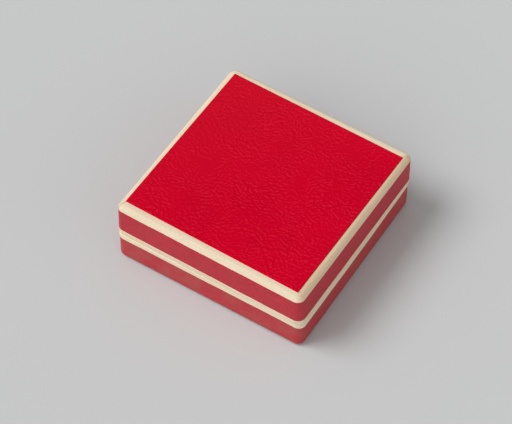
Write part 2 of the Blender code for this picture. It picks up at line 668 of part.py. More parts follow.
def add_nail(name, place, inward, finish, anchor, size, through):
    """One nail along Y, its head on the inner side; cut its hole in the pieces that it goes through."""
    turn = (radians(-90.0) * inward, 0.0, 0.0)
    nail = add_piece(name, nail_shape(size), place, finish, anchor, turn)
    turned(nail, ROUND_STEPS)
    hole_length = (NAIL_LENGTH + NAIL_PLAY) * size
    hole = cylinder(NAIL_SHANK_RADIUS * size + NAIL_PLAY, hole_length * 2, ROUND_STEPS)
    cutter = add_cutter(name + "_hole", hole, place, turn)
    for piece in through:
        boolean(piece, cutter)


def add_hinge(base, lid, walls_base, walls_lid, edgings):
    """Two rolled leaves, the pin through their knuckles, and six nails."""
    leaves = {}
    for name, sign, anchor, odd in (("hinge_base_leaf", -1, base, False), ("hinge_lid_leaf", 1, lid, True)):
        shape = folded_sheet(leaf_points(sign), HINGE_LENGTH)
        round_flap(shape, sign)
        leaf = add_piece(name, shape, (0.0, AXIS_Y, AXIS_Z), BRASS, anchor)
        thicken(leaf, LEAF_THICKNESS)
        for cutter in knuckle_cutters(name, odd):
            boolean(leaf, cutter)
        leaves[name] = leaf

    pin = cylinder(PIN_RADIUS, HINGE_LENGTH + 2 * PIN_OVERHANG, ROUND_STEPS)
    half = HINGE_LENGTH / 2 + PIN_OVERHANG
    for end in (-half, half):
        rim = edges_where(pin, lambda point: abs(point.z - end) < PIN_PLAY)
        bevel(pin, rim, PIN_RADIUS / 3, LIP_STEPS)
    add_piece("hinge_pin", pin, (0.0, AXIS_Y, AXIS_Z), BRASS, base, (0.0, radians(90.0), 0.0))

    room = HINGE_LENGTH / 2 + PIN_OVERHANG + RUN_GAP
    groove = cylinder(BARREL_RADIUS + RUN_GAP, 2 * room, ROUND_STEPS)
    groove = add_cutter("hinge_groove", groove, (0.0, AXIS_Y, AXIS_Z), (0.0, radians(90.0), 0.0))
    half_slot = BARREL_RADIUS + GLUE_GAP
    inner_y = CASE_Y + HALF_DEPTH - INSIDE_IN - CUT_OVERRUN
    slot, place = span_box((-room, inner_y, AXIS_Z - half_slot),
                           (room, AXIS_Y + CUT_OVERRUN, AXIS_Z + half_slot))
    slot = add_cutter("hinge_slot", slot, place)
    for piece in (walls_base["back"], walls_lid["back"], *edgings):
        boolean(piece, groove)
        boolean(piece, slot)

    face_y = CASE_Y + HALF_DEPTH - LEAF_IN - LEAF_THICKNESS - NAIL_PLAY
    halves = (("base", -1, base, walls_base["back"]), ("lid", 1, lid, walls_lid["back"]))
    for half_name, sign, anchor, wall in halves:
        leaf = leaves["hinge_" + half_name + "_leaf"]
        nails_z = AXIS_Z + sign * NAIL_DROP
        for spot, shift in (("left", -1), ("middle", 0), ("right", 1)):
            add_nail("hinge_" + half_name + "_nail_" + spot, (shift * NAIL_SPACING, face_y, nails_z), -1,
                     BRASS, anchor, 1.0, (leaf, wall))


def add_catch(base, lid, walls_base, walls_lid):
    """Sprung strip with a nib on the base, and the slotted striker plate in the lid's front wall."""
    face = CASE_Y - HALF_DEPTH
    strip_y = face + LEAF_IN + CATCH_THICKNESS / 2
    low = FLOOR_TOP_Z + CATCH_START
    points = [(strip_y, low), (strip_y, NIB_Z - CATCH_NIB_HALF),
              (strip_y - CATCH_NIB_REACH, NIB_Z - CATCH_NIB_HALF / 4),
              (strip_y - CATCH_NIB_REACH, NIB_Z + CATCH_NIB_HALF / 4),
              (strip_y, NIB_Z + CATCH_NIB_HALF),
              (strip_y + CATCH_TIP_LEAN, NIB_Z + CATCH_NIB_HALF + CATCH_TIP_RISE)]
    spring = add_piece("catch_spring", folded_sheet(points, CATCH_WIDTH), (0.0, 0.0, 0.0), BRONZE, base)
    thicken(spring, CATCH_THICKNESS)
    head_y = strip_y + CATCH_THICKNESS / 2 + NAIL_PLAY
    for spot, rise in (("lower", 1), ("upper", 2)):
        add_nail("catch_rivet_" + spot, (0.0, head_y, low + rise * CATCH_RIVET_SPACING), 1, BRASS, base,
                 RIVET_SHARE, (spring, walls_base["front"]))

    plate_y = face + INSIDE_IN - GLUE_GAP / 2 - STRIKER_THICKNESS / 2
    plate_low = NIB_Z - STRIKER_BELOW
    plate_high = NIB_Z + STRIKER_ABOVE
    plate_place = (0.0, plate_y, (plate_low + plate_high) / 2)
    shape = box((STRIKER_WIDTH, STRIKER_THICKNESS, plate_high - plate_low))
    plate = add_piece("catch_striker_plate", shape, plate_place, BRASS, lid)
    nib_half = CATCH_NIB_HALF + NIB_POCKET
    nib_across = CATCH_WIDTH / 2 + NIB_POCKET
    nib_face = strip_y - CATCH_NIB_REACH - CATCH_THICKNESS - NIB_POCKET
    window, place = span_box((-nib_across, nib_face, NIB_Z - nib_half),
                             (nib_across, strip_y, NIB_Z + nib_half))
    window = add_cutter("nib_window", window, place)
    seat_across = STRIKER_WIDTH / 2 + GLUE_GAP
    seat_back = plate_y - STRIKER_THICKNESS / 2 - GLUE_GAP
    seat, place = span_box((-seat_across, seat_back, LID_WALL_LOW_Z - CUT_OVERRUN),
                           (seat_across, strip_y, plate_high + GLUE_GAP))
    seat = add_cutter("striker_seat", seat, place)
    boolean(plate, window)
    boolean(walls_lid["front"], seat)
    boolean(walls_lid["front"], window)
    head_y = plate_y + STRIKER_THICKNESS / 2 + NAIL_PLAY
    tack_x = (nib_across + STRIKER_WIDTH / 2) / 2
    for spot, sign in (("left", -1), ("right", 1)):
        add_nail("striker_tack_" + spot, (sign * tack_x, head_y, NIB_Z), 1, BRASS, lid, TACK_SHARE,
                 (plate, walls_lid["front"]))


empty_scene()
PARTS = new_collection("medal_presentation_case")
CUTTERS = new_collection("cutters")
BASE = new_anchor("base_frame", (0.0, CASE_Y, 0.0))
LID = new_anchor("lid_axis", (0.0, AXIS_Y, AXIS_Z))
BASE_WALLS, BASE_EDGING = add_base_shell(BASE)
LID_WALLS, LID_EDGING = add_lid_shell(LID)
add_collar(BASE)
add_linings(LID)
add_velvet_pad(BASE)
add_lid_cushion(LID)
add_hinge(BASE, LID, BASE_WALLS, LID_WALLS, (BASE_EDGING, LID_EDGING))
add_catch(BASE, LID, BASE_WALLS, LID_WALLS)
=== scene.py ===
"""Finish of the medal presentation case: leather, paper, linings, hinge, catch, floor, light and camera."""
import json
from math import cos, pi, radians, sin

import bmesh
import bpy
import numpy as np
from bpy.props import FloatProperty, FloatVectorProperty, IntProperty, PointerProperty
from bpy.types import NodeSocket, Operator, Panel, PropertyGroup
from mathutils import Matrix, Vector, noise


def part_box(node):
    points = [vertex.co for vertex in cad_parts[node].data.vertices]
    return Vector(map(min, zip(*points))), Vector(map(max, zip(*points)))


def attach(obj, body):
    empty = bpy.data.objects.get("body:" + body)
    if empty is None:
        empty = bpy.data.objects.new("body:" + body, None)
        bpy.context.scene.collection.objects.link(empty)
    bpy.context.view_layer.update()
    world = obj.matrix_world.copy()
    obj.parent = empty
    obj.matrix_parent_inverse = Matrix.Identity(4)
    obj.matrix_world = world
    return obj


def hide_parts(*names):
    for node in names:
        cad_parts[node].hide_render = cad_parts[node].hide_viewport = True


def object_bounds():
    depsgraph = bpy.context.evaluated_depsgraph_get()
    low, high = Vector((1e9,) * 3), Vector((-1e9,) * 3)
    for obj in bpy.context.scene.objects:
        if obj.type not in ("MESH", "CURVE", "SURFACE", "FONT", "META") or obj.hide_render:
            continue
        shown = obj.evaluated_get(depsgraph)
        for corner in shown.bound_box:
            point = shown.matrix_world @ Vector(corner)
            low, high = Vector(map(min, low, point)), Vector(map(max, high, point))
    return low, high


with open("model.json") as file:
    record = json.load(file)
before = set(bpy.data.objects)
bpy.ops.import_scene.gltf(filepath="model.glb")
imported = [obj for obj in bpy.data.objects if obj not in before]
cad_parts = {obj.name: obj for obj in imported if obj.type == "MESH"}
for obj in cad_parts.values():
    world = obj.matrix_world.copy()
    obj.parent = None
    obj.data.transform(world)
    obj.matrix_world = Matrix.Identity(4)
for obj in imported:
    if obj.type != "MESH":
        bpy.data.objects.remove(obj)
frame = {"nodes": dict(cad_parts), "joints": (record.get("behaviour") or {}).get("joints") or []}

bl_info = {
    "name": "Medal Case Finish",
    "version": (1, 0, 0),
    "blender": (4, 5, 0),
    "location": "3D View > Sidebar > Medal Case",
    "description": "Dresses the frame of a hinged medal case in leather, paper, velvet, satin and brass",
    "category": "Object",
}

CAD_LOW, CAD_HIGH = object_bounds()

# A millimetre in metres, the photograph's width in pixels, the camera sensor's width in millimetres
MM = 0.001
PHOTO_WIDTH = 512
SENSOR_WIDTH = 36.0

# Places and sizes of the frame's nodes
PANEL_LOW, PANEL_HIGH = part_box("lid_top_panel")
TOP_EDGING_LOW, TOP_EDGING_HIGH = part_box("lid_top_edging")
LID_RIM_LOW, LID_RIM_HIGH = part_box("lid_rim_edging")
BASE_RIM_LOW, BASE_RIM_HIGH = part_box("base_rim_edging")
BASE_LEATHER_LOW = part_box("base_side_leather")[0]
LEATHER_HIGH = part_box("lid_side_leather")[1]
CASE_Y = (TOP_EDGING_LOW.y + TOP_EDGING_HIGH.y) / 2
HALF_WIDTH = LEATHER_HIGH.x
HALF_DEPTH = LEATHER_HIGH.y - CASE_Y
PROUD = BASE_RIM_HIGH.x - HALF_WIDTH
PANEL_HALF_WIDTH = PANEL_HIGH.x
PANEL_HALF_DEPTH = (PANEL_HIGH.y - PANEL_LOW.y) / 2
INNER_HALF_WIDTH = -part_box("base_left_wall")[1].x
INNER_HALF_DEPTH = CASE_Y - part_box("base_front_wall")[1].y
AXIS = Vector(frame["joints"][0]["pos_m"])
PIN_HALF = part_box("hinge_pin")[1].x
BARREL_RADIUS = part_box("hinge_lid_leaf")[1].y - AXIS.y

# Steps and cells of the meshes; a long run is longer than this many cells
UP, DOWN = 1, -1
SIDES = ("front", "back", "left", "right")
CORNER_STEPS = 10
UPRIGHT_CUTS = 7
LEATHER_CELL = 1.4 * MM
PAPER_CELL = 1.5 * MM
LONG_RUN = 8

# Tolerances by which points, edges and faces are told apart
WELD = 0.002 * MM
SAME_LEVEL = 0.01 * MM
SHORTEST_UPRIGHT = 4 * MM
LARGE_AREA = 100 * MM * MM
FLAT_ANGLE = radians(0.5)
SHARP_ANGLE = radians(50.0)

# Ridges per metre in the side leather's grain, and the scales at which the scuffs on edges, and the leather's
# painted edge shade and highlight, are broken up
SIDE_GRAIN = 900.0
LEATHER_WEAR = 420.0
PAPER_WEAR = 650.0

# The least scuffing of the paper, and how far scuffing, and on the side leather a painted highlight, reaches
# from an upright corner
PAPER_HANDLED = 0.12
CORNER_WEAR = 2.6 * MM

# The floor's size in metres, and the directions that the lamps shine from
FLOOR_SIZE = 6.0
KEY_FROM = (-0.52, -0.32, 0.79)
FILL_FROM = (-0.10, -0.97, 0.20)
SIDE_FILL_FROM = (0.97, -0.20, 0.12)

# What the settings of a colour and of a length have in common
COLOUR = {"subtype": "COLOR", "size": 3, "min": 0.0, "max": 1.0}
LENGTH = {"unit": "LENGTH", "precision": 6}


# Settings

class MedalCaseCovering(PropertyGroup):
    """Sizes and colours of the leather and the paper edging."""

    panel_colour: FloatVectorProperty(
        name="Panel colour", description="Red of the grained panel in the lid",
        default=(0.582, 0.0, 0.0178), **COLOUR)
    # Painted highlight: the lighter, greyer red of light caught on the tops of the panel's grain.
    ridge_colour: FloatVectorProperty(
        name="Ridge colour", description="Lighter red on the ridges of the panel's grain",
        default=(0.655, 0.008, 0.032), **COLOUR)
    side_colour: FloatVectorProperty(
        name="Side colour", description="Duller red of the leather round the sides",
        default=(0.51, 0.010, 0.032), **COLOUR)
    # Partly dulled leather and partly painted sheen: the grey in this red stands in for light reflected onto
    # the upright sides.
    dust_colour: FloatVectorProperty(
        name="Dust colour", description="Greyer red where the side leather has dulled",
        default=(0.43, 0.070, 0.062), **COLOUR)
    paper_colour: FloatVectorProperty(
        name="Edging colour", description="Cream of the paper edging",
        default=(0.785, 0.655, 0.485), **COLOUR)
    corner_radius: FloatProperty(
        name="Corner radius", description="Rounding of the upright corners",
        default=3.0 * MM, **LENGTH)
    bevel_width: FloatProperty(
        name="Bevel", description="Width and drop of the slope round the lid's top",
        default=1.90 * MM, **LENGTH)
    bevel_fullness: FloatProperty(
        name="Bevel fullness", description="0.25 is a flat slope and 0.5 a quarter round",
        default=0.33, min=0.25, max=0.5)
    bottom_radius: FloatProperty(
        name="Bottom radius", description="Rounding of the base's lower edge",
        default=1.3 * MM, **LENGTH)
    leather_thickness: FloatProperty(
        name="Leather", description="Thickness of the leather",
        default=0.5 * MM, **LENGTH)
    paper_thickness: FloatProperty(
        name="Paper", description="Thickness of the edging paper",
        default=0.1 * MM, **LENGTH)
    turn_in: FloatProperty(
        name="Turn-in", description="Width of the leather turned under the base",
        default=6.0 * MM, **LENGTH)
    grain_size: FloatProperty(
        name="Grain size", description="Distance between the ridges of the panel's grain",
        default=1.42 * MM, **LENGTH)
    grain_depth: FloatProperty(
        name="Grain depth", description="Depth of the creases between the ridges",
        default=0.045 * MM, **LENGTH)
    grain_turn: FloatProperty(
        name="Grain direction", description="Turn of the ridges from the case's width",
        default=radians(5.0), subtype="ANGLE")
    cut_waver: FloatProperty(
        name="Cut waver", description="How far the hand-cut edge of the paper strays",
        default=0.14 * MM, **LENGTH)
    # How much of the greyer red each body's side leather gets: dulling, and painted sheen.
    lid_dust: FloatProperty(
        name="Lid dulling", description="How far the lid's side leather has dulled",
        default=0.20, min=0.0, max=1.0)
    base_dust: FloatProperty(
        name="Base dulling", description="How far the base's side leather has dulled",
        default=0.54, min=0.0, max=1.0)
    panel_turn: FloatProperty(
        name="Panel turn", description="Turn of the hand-laid panel, clockwise from above",
        default=radians(0.5), subtype="ANGLE")
    panel_gap: FloatProperty(
        name="Panel gap", description="How much each edge of the panel keeps back from its place",
        default=0.13 * MM, **LENGTH)
    wall_lean: FloatProperty(
        name="Wall lean", description="How far the lid's left wall leans in and its right wall out",
        default=0.30 * MM, **LENGTH)
    base_turn: FloatProperty(
        name="Base turn", description="Turn of the base's covering under the lid, anticlockwise from above",
        default=radians(0.5), subtype="ANGLE")
    band_taper: FloatProperty(
        name="Band taper", description="How much the base's edging narrows on the right towards the back",
        default=1.3 * MM, **LENGTH)
    band_drop: FloatProperty(
        name="Band drop", description="How much lower the base's edging reaches all along the right",
        default=0.3 * MM, **LENGTH)
    panel_cells: IntProperty(
        name="Panel cells", description="Cells across the panel before it is subdivided",
        default=150, min=8)


class MedalCaseLinings(PropertyGroup):
    """Sizes and colours of the velvet, the satin and the card inside."""

    velvet_colour: FloatVectorProperty(
        name="Velvet colour", description="Colour of the pile in the base",
        default=(0.030, 0.012, 0.060), **COLOUR)
    satin_colour: FloatVectorProperty(
        name="Satin colour", description="Colour of the satin in the lid",
        default=(0.76, 0.70, 0.58), **COLOUR)
    board_colour: FloatVectorProperty(
        name="Board colour", description="Colour of the pale wooden boards",
        default=(0.55, 0.38, 0.21), **COLOUR)
    card_colour: FloatVectorProperty(
        name="Card colour", description="Colour of the card behind the cushion",
        default=(0.42, 0.36, 0.27), **COLOUR)
    underside_colour: FloatVectorProperty(
        name="Underside colour", description="Colour of the paper under the base",
        default=(0.16, 0.15, 0.14), **COLOUR)
    velvet_voxel: FloatProperty(
        name="Velvet voxel", description="Cell size of the simulated velvet pad",
        default=1.0 * MM, **LENGTH)
    satin_voxel: FloatProperty(
        name="Satin voxel", description="Cell size of the simulated satin cushion",
        default=1.0 * MM, **LENGTH)
    velvet_cap: FloatProperty(
        name="Velvet swell", description="Farthest that the velvet may move from its card",
        default=0.8 * MM, **LENGTH)
    satin_cap: FloatProperty(
        name="Satin swell", description="Farthest that the satin may move from its wadding",
        default=1.4 * MM, **LENGTH)


class MedalCaseMetal(PropertyGroup):
    """Colours of the hinge, its nails and the catch, and how far their edges are eased."""

    brass_colour: FloatVectorProperty(
        name="Brass colour", description="Colour of the hinge and the nails",
        default=(0.50, 0.35, 0.15), **COLOUR)
    bronze_colour: FloatVectorProperty(
        name="Bronze colour", description="Colour of the catch's spring",
        default=(0.42, 0.235, 0.11), **COLOUR)
    edge_radius: FloatProperty(
        name="Edge radius", description="Rounding of the metal's edges",
        default=0.05 * MM, **LENGTH)


class MedalCaseStage(PropertyGroup):
    """Floor, lamps and camera."""

    floor_colour: FloatVectorProperty(
        name="Floor colour", description="Pale grey of the floor",
        default=(0.570, 0.576, 0.577), **COLOUR)
    ambient: FloatProperty(
        name="Ambient light", description="Strength of the even light all round",
        default=0.357, min=0.0)
    key: FloatProperty(
        name="Key light", description="Strength of the lamp on the upper left",
        default=1.93, min=0.0)
    key_spread: FloatProperty(
        name="Key spread", description="How wide the key lamp looks from the case",
        default=radians(33.0), subtype="ANGLE")
    fill: FloatProperty(
        name="Fill light", description="Strength of the lamp in front",
        default=1.22, min=0.0)
    side_fill: FloatProperty(
        name="Side light", description="Strength of the low lamp on the right",
        default=0.68, min=0.0)
    fill_spread: FloatProperty(
        name="Fill spread", description="How wide the fill lamp looks from the case",
        default=radians(80.0), subtype="ANGLE")
    azimuth: FloatProperty(
        name="Azimuth", description="Camera's turn from the front towards the right",
        default=radians(32.56), subtype="ANGLE")
    elevation: FloatProperty(
        name="Elevation", description="Camera's height above the horizon",
        default=radians(53.18), subtype="ANGLE")
    focal_pixels: FloatProperty(
        name="Focal length", description="Focal length in pixels of the photograph's frame",
        default=2350.0, subtype="PIXEL")
    distance_share: FloatProperty(
        name="Distance", description="Camera's distance in widths of the case",
        default=10.753)
    right_share: FloatProperty(
        name="Shift right", description="Camera's shift to the right in widths of the case",
        default=-0.0426)
    up_share: FloatProperty(
        name="Shift up", description="Camera's shift upwards in widths of the case",
        default=-0.1513)


# Modelling as by hand

def deselect():
    """Leave edit mode and select nothing."""
    if bpy.context.object and bpy.context.object.mode != "OBJECT":
        bpy.ops.object.mode_set(mode="OBJECT")
    bpy.ops.object.select_all(action="DESELECT")


def pick_object(piece):
    """Select one object and make it the active one."""
    deselect()
    piece.select_set(True)
    bpy.context.view_layer.objects.active = piece


def edit(piece):
    """Go into edit mode on one object."""
    pick_object(piece)
    bpy.ops.object.mode_set(mode="EDIT")


def name_new(name):
    """Name the object that was just added and apply its place and size."""
    piece = bpy.context.object
    piece.name = name
    piece.data.name = name
    bpy.ops.object.transform_apply(location=True, rotation=True, scale=True)
    return piece


def add_block(name, low, high):
    """Add a cube that fills the space between two corners."""
    deselect()
    bpy.ops.mesh.primitive_cube_add(size=1.0, location=(low + high) / 2)
    bpy.context.object.scale = high - low
    return name_new(name)


def add_sheet(name, low, high, cells):
    """Add a flat grid between two corners, at the height of the upper one."""
    deselect()
    middle = Vector(((low.x + high.x) / 2, (low.y + high.y) / 2, high.z))
    bpy.ops.mesh.primitive_grid_add(x_subdivisions=cells, y_subdivisions=cells, size=1.0, location=middle)
    bpy.context.object.scale = (high.x - low.x, high.y - low.y, 1.0)
    return name_new(name)


def copy_node(node, name):
    """Copy a frame node, join its loose triangles and melt flat faces together."""
    piece = bpy.data.objects.new(name, frame["nodes"][node].data.copy())
    piece.data.name = name
    bpy.context.scene.collection.objects.link(piece)
    edit(piece)
    bpy.ops.mesh.select_all(action="SELECT")
    bpy.ops.mesh.remove_doubles(threshold=WELD)
    bpy.ops.mesh.dissolve_limited(angle_limit=FLAT_ANGLE)
    deselect()
    return piece


def choose(piece, kind, test):
    """In edit mode, select the faces, edges or vertices that pass a test."""
    bpy.ops.mesh.select_mode(type=kind)
    bpy.ops.mesh.select_all(action="DESELECT")
    shape = bmesh.from_edit_mesh(piece.data)
    items = {"VERT": shape.verts, "EDGE": shape.edges, "FACE": shape.faces}[kind]
    for item in items:
        item.select_set(bool(test(item)))
    shape.select_flush_mode()
    bmesh.update_edit_mesh(piece.data)


def runs_along(edge, axis, nearly=0.99):
    """True if an edge runs along one axis."""
    along = edge.verts[0].co - edge.verts[1].co
    return abs(along[axis]) > nearly * along.length


def on_level(edge, height):
    """True if an edge lies at one height."""
    return all(abs(vert.co.z - height) < SAME_LEVEL for vert in edge.verts)


def faces(face, way, nearly=0.9):
    """True if a face looks up or down, as the way says."""
    return face.normal.z * way > nearly


def is_upright(face, hardly=0.1):
    """True if a face stands upright."""
    return abs(face.normal.z) < hardly


def bevel(radius, steps, fullness=0.5):
    """Round the selected edges; a lower fullness gives a flatter slope."""
    bpy.ops.mesh.bevel(offset=radius, offset_type="OFFSET", segments=steps, profile=fullness,
                       affect="EDGES", clamp_overlap=False)


def cut_long_runs(piece, cell):
    """In edit mode, cut the long level edges of a sheet into runs of about one cell each."""
    for axis in (0, 1):
        choose(piece, "EDGE", lambda edge: runs_along(edge, axis) and edge.calc_length() > LONG_RUN * cell)
        shape = bmesh.from_edit_mesh(piece.data)
        longest = max([edge.calc_length() for edge in shape.edges if edge.select], default=0.0)
        if longest:
            bpy.ops.mesh.subdivide(number_cuts=int(longest / cell))


def extrude(rise):
    """Extrude what is selected upwards, or downwards by a negative rise."""
    bpy.ops.mesh.extrude_region_move(TRANSFORM_OT_translate={"value": (0.0, 0.0, rise)})


def cut_at(height, keep):
    """In edit mode, cut the whole mesh at a height and keep the part above or below it."""
    bpy.ops.mesh.select_all(action="SELECT")
    bpy.ops.mesh.bisect(plane_co=(0.0, 0.0, height), plane_no=(0.0, 0.0, 1.0),
                        clear_inner=keep == UP, clear_outer=keep == DOWN)


def apply_modifier(piece, kind, **settings):
    """Add a modifier and apply it."""
    pick_object(piece)
    modifier = piece.modifiers.new(kind.title(), kind)
    for name, value in settings.items():
        setattr(modifier, name, value)
    bpy.ops.object.modifier_apply(modifier=modifier.name)


def thicken(piece, thickness):
    """Give a sheet its thickness, inwards from its face."""
    apply_modifier(piece, "SOLIDIFY", thickness=thickness, offset=-1.0, use_even_offset=True)


def turn_over(piece, height):
    """Mirror a piece upside down; the height is the sum of its lower and upper end."""
    piece.data.transform(Matrix.Translation((0.0, 0.0, height)) @ Matrix.Diagonal((1.0, 1.0, -1.0, 1.0)))
    edit(piece)
    bpy.ops.mesh.select_all(action="SELECT")
    bpy.ops.mesh.flip_normals()
    deselect()


def ease_edges(piece, radius, steps=2):
    """Round the sharp edges of a piece."""
    apply_modifier(piece, "BEVEL", width=radius, segments=steps, limit_method="ANGLE",
                   angle_limit=SHARP_ANGLE)


def move_points(piece, shift):
    """Move every vertex of a piece by what a function gives for its place."""
    for vert in piece.data.vertices:
        vert.co += shift(vert.co)
    piece.data.update()


def boolean_cut(piece, cutter):
    """Cut one object away from another and remove the cutter."""
    apply_modifier(piece, "BOOLEAN", operation="DIFFERENCE", solver="EXACT", object=cutter)
    bpy.data.objects.remove(cutter, do_unlink=True)


def mark(piece, **masks):
    """Write float attributes on a piece, each from a function of place."""
    for name, mask in masks.items():
        attribute = piece.data.attributes.new(name, "FLOAT", "POINT")
        attribute.data.foreach_set("value", [mask(vert.co) for vert in piece.data.vertices])


def dress(piece, finish, body, nodes, angle=35.0):
    """Give a finished piece its material, its smooth shading and its body, and hide the nodes that it stands
    for.
    """
    pick_object(piece)
    piece.data.materials.clear()
    piece.data.materials.append(finish)
    bpy.ops.object.shade_smooth_by_angle(angle=radians(angle), keep_sharp_edges=True)
    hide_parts(*nodes)
    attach(piece, body)
    deselect()


def paint_node(node, finish):
    """Give a frame node that keeps its shape a better material."""
    holder = frame["nodes"][node]
    holder.data.materials.clear()
    holder.data.materials.append(finish)


# Shares and unevenness by place

def ramp(value, low, high):
    """Smooth step from 0 to 1 between two values."""
    share = min(1.0, max(0.0, (value - low) / (high - low)))
    return share * share * (3.0 - 2.0 * share)


def near(distance, reach):
    """1 where a distance is nothing, falling smoothly to 0 where it is the reach."""
    return ramp(reach - distance, 0.0, reach)


def roughly(place, size, seed):
    """Smooth noise between -1 and 1 with features of a size."""
    return noise.noise(place / size + Vector((seed, seed * 1.7, seed * 0.6)))


def waver(place, sizes, slow, quick, seeds):
    """How far a hand-cut edge strays: a slow waver and half as much of a quick one."""
    return sizes.cut_waver * (roughly(place, slow, seeds[0]) + 0.5 * roughly(place, quick, seeds[1]))


# Shader nodes

def connect(tree, target, value):
    """Link an input to a socket, or set it to a number, a vector or a colour."""
    if isinstance(value, NodeSocket):
        tree.links.new(value, target)
    elif target.type == "RGBA":
        target.default_value = (*value, 1.0)
    else:
        target.default_value = value


def add_node(tree, kind, *values, **settings):
    """Add a node; settings are its properties and its inputs by name, and values its inputs in order."""
    made = tree.nodes.new("ShaderNode" + kind)
    for name, value in settings.items():
        if hasattr(made, name):
            setattr(made, name, value)
    for target, value in zip(made.inputs, values):
        connect(tree, target, value)
    for name, value in settings.items():
        if not hasattr(made, name):
            connect(tree, made.inputs[name.replace("_", " ")], value)
    return made


def maths(tree, operation, *values):
    """A Math node's output for one to three sockets or numbers."""
    return add_node(tree, "Math", *values, operation=operation).outputs[0]


def weighted_sum(tree, first, weight, second, other_weight):
    """The sum of two values, each with its own weight."""
    return maths(tree, "MULTIPLY_ADD", first, weight, maths(tree, "MULTIPLY", second, other_weight))


def multiply(tree, vector, factors):
    """A vector or colour multiplied by another, or by three numbers."""
    return add_node(tree, "VectorMath", vector, factors, operation="MULTIPLY").outputs[0]


def scaled(tree, vector, scale):
    """A vector scaled by a socket."""
    return add_node(tree, "VectorMath", vector, Scale=scale, operation="SCALE").outputs[0]


def noise_value(tree, vector, scale, detail=2.0, roughness=0.5):
    """Noise between 0 and 1 over a vector."""
    return add_node(tree, "TexNoise", vector, Scale=scale, Detail=detail, Roughness=roughness).outputs["Fac"]


def map_value(tree, value, low, high, to_low=0.0, to_high=1.0):
    """A value mapped smoothly from one range to another."""
    made = add_node(tree, "MapRange", value, low, high, to_low, to_high, interpolation_type="SMOOTHSTEP")
    return made.outputs["Result"]


def blend_colour(tree, factor, first, second):
    """Mix two colours, each a socket or three numbers; a Mix node has them at inputs 6 and 7 and output 2."""
    made = tree.nodes.new("ShaderNodeMix")
    made.data_type = "RGBA"
    for place, value in ((0, factor), (6, first), (7, second)):
        connect(tree, made.inputs[place], value)
    return made.outputs[2]


def new_group(name, **inputs):
    """Start a node group that takes a vector and named numbers; returns its tree and what it is given."""
    tree = bpy.data.node_groups.new(name, "ShaderNodeTree")
    tree.interface.new_socket("Vector", in_out="INPUT", socket_type="NodeSocketVector")
    for label, default in inputs.items():
        socket = tree.interface.new_socket(label, in_out="INPUT", socket_type="NodeSocketFloat")
        socket.default_value = default
    return tree, tree.nodes.new("NodeGroupInput").outputs


def close_group(tree, **values):
    """Put named values out of a node group and return the group."""
    for label in values:
        tree.interface.new_socket(label, in_out="OUTPUT", socket_type="NodeSocketFloat")
    result = tree.nodes.new("NodeGroupOutput")
    for label, value in values.items():
        tree.links.new(value, result.inputs[label])
    return tree


def use_group(tree, name, vector, **values):
    """Place a node group in a material with its own values; it is built the first time that it is used."""
    made = tree.nodes.new("ShaderNodeGroup")
    made.node_tree = bpy.data.node_groups.get(name) or GROUP_MAKERS[name]()
    connect(tree, made.inputs["Vector"], vector)
    for label, value in values.items():
        connect(tree, made.inputs[label], value)
    return made.outputs


def new_material(name, **shader_values):
    """A material with a Principled shader; returns it, its tree, its shader and object coordinates."""
    made = bpy.data.materials.new(name)
    made.use_nodes = True
    tree = made.node_tree
    shader = tree.nodes["Principled BSDF"]
    for label, value in shader_values.items():
        connect(tree, shader.inputs[label.replace("_", " ")], value)
    return made, tree, shader, add_node(tree, "TexCoord").outputs["Object"]


def feed(tree, shader, colour, roughness, height, depth):
    """Link colour, roughness and a bump of a real depth to the shader."""
    bump = add_node(tree, "Bump", Height=height, Strength=1.0, Distance=depth)
    tree.links.new(colour, shader.inputs["Base Color"])
    tree.links.new(roughness, shader.inputs["Roughness"])
    tree.links.new(bump.outputs["Normal"], shader.inputs["Normal"])


def shade(colour, factor):
    """A colour made lighter or darker."""
    return tuple(min(1.0, channel * factor) for channel in colour)


def tint(colour, factors):
    """A colour with each channel multiplied by its own factor."""
    return tuple(channel * factor for channel, factor in zip(colour, factors))


def tones(tree, value, low, high, colour, darker, lighter):
    """A colour that goes from a darker to a lighter shade of itself while a value goes from low to high."""
    share = map_value(tree, value, low, high)
    return blend_colour(tree, share, shade(colour, darker), shade(colour, lighter))


def lay_over(tree, base, colour, mask, weight):
    """A colour with another laid over it where a mask says, as strongly as the weight allows."""
    return blend_colour(tree, maths(tree, "MULTIPLY", mask, weight), base, colour)


def deepen(tree, base, colour, value, low, high, weight):
    """A colour that turns into another while a value goes from low to high, up to the weight."""
    return blend_colour(tree, map_value(tree, value, low, high, 0.0, weight), base, colour)


def attribute_value(tree, name):
    """A float attribute that the mesh carries."""
    return add_node(tree, "Attribute", attribute_name=name).outputs["Fac"]


# Effects that more than one material uses

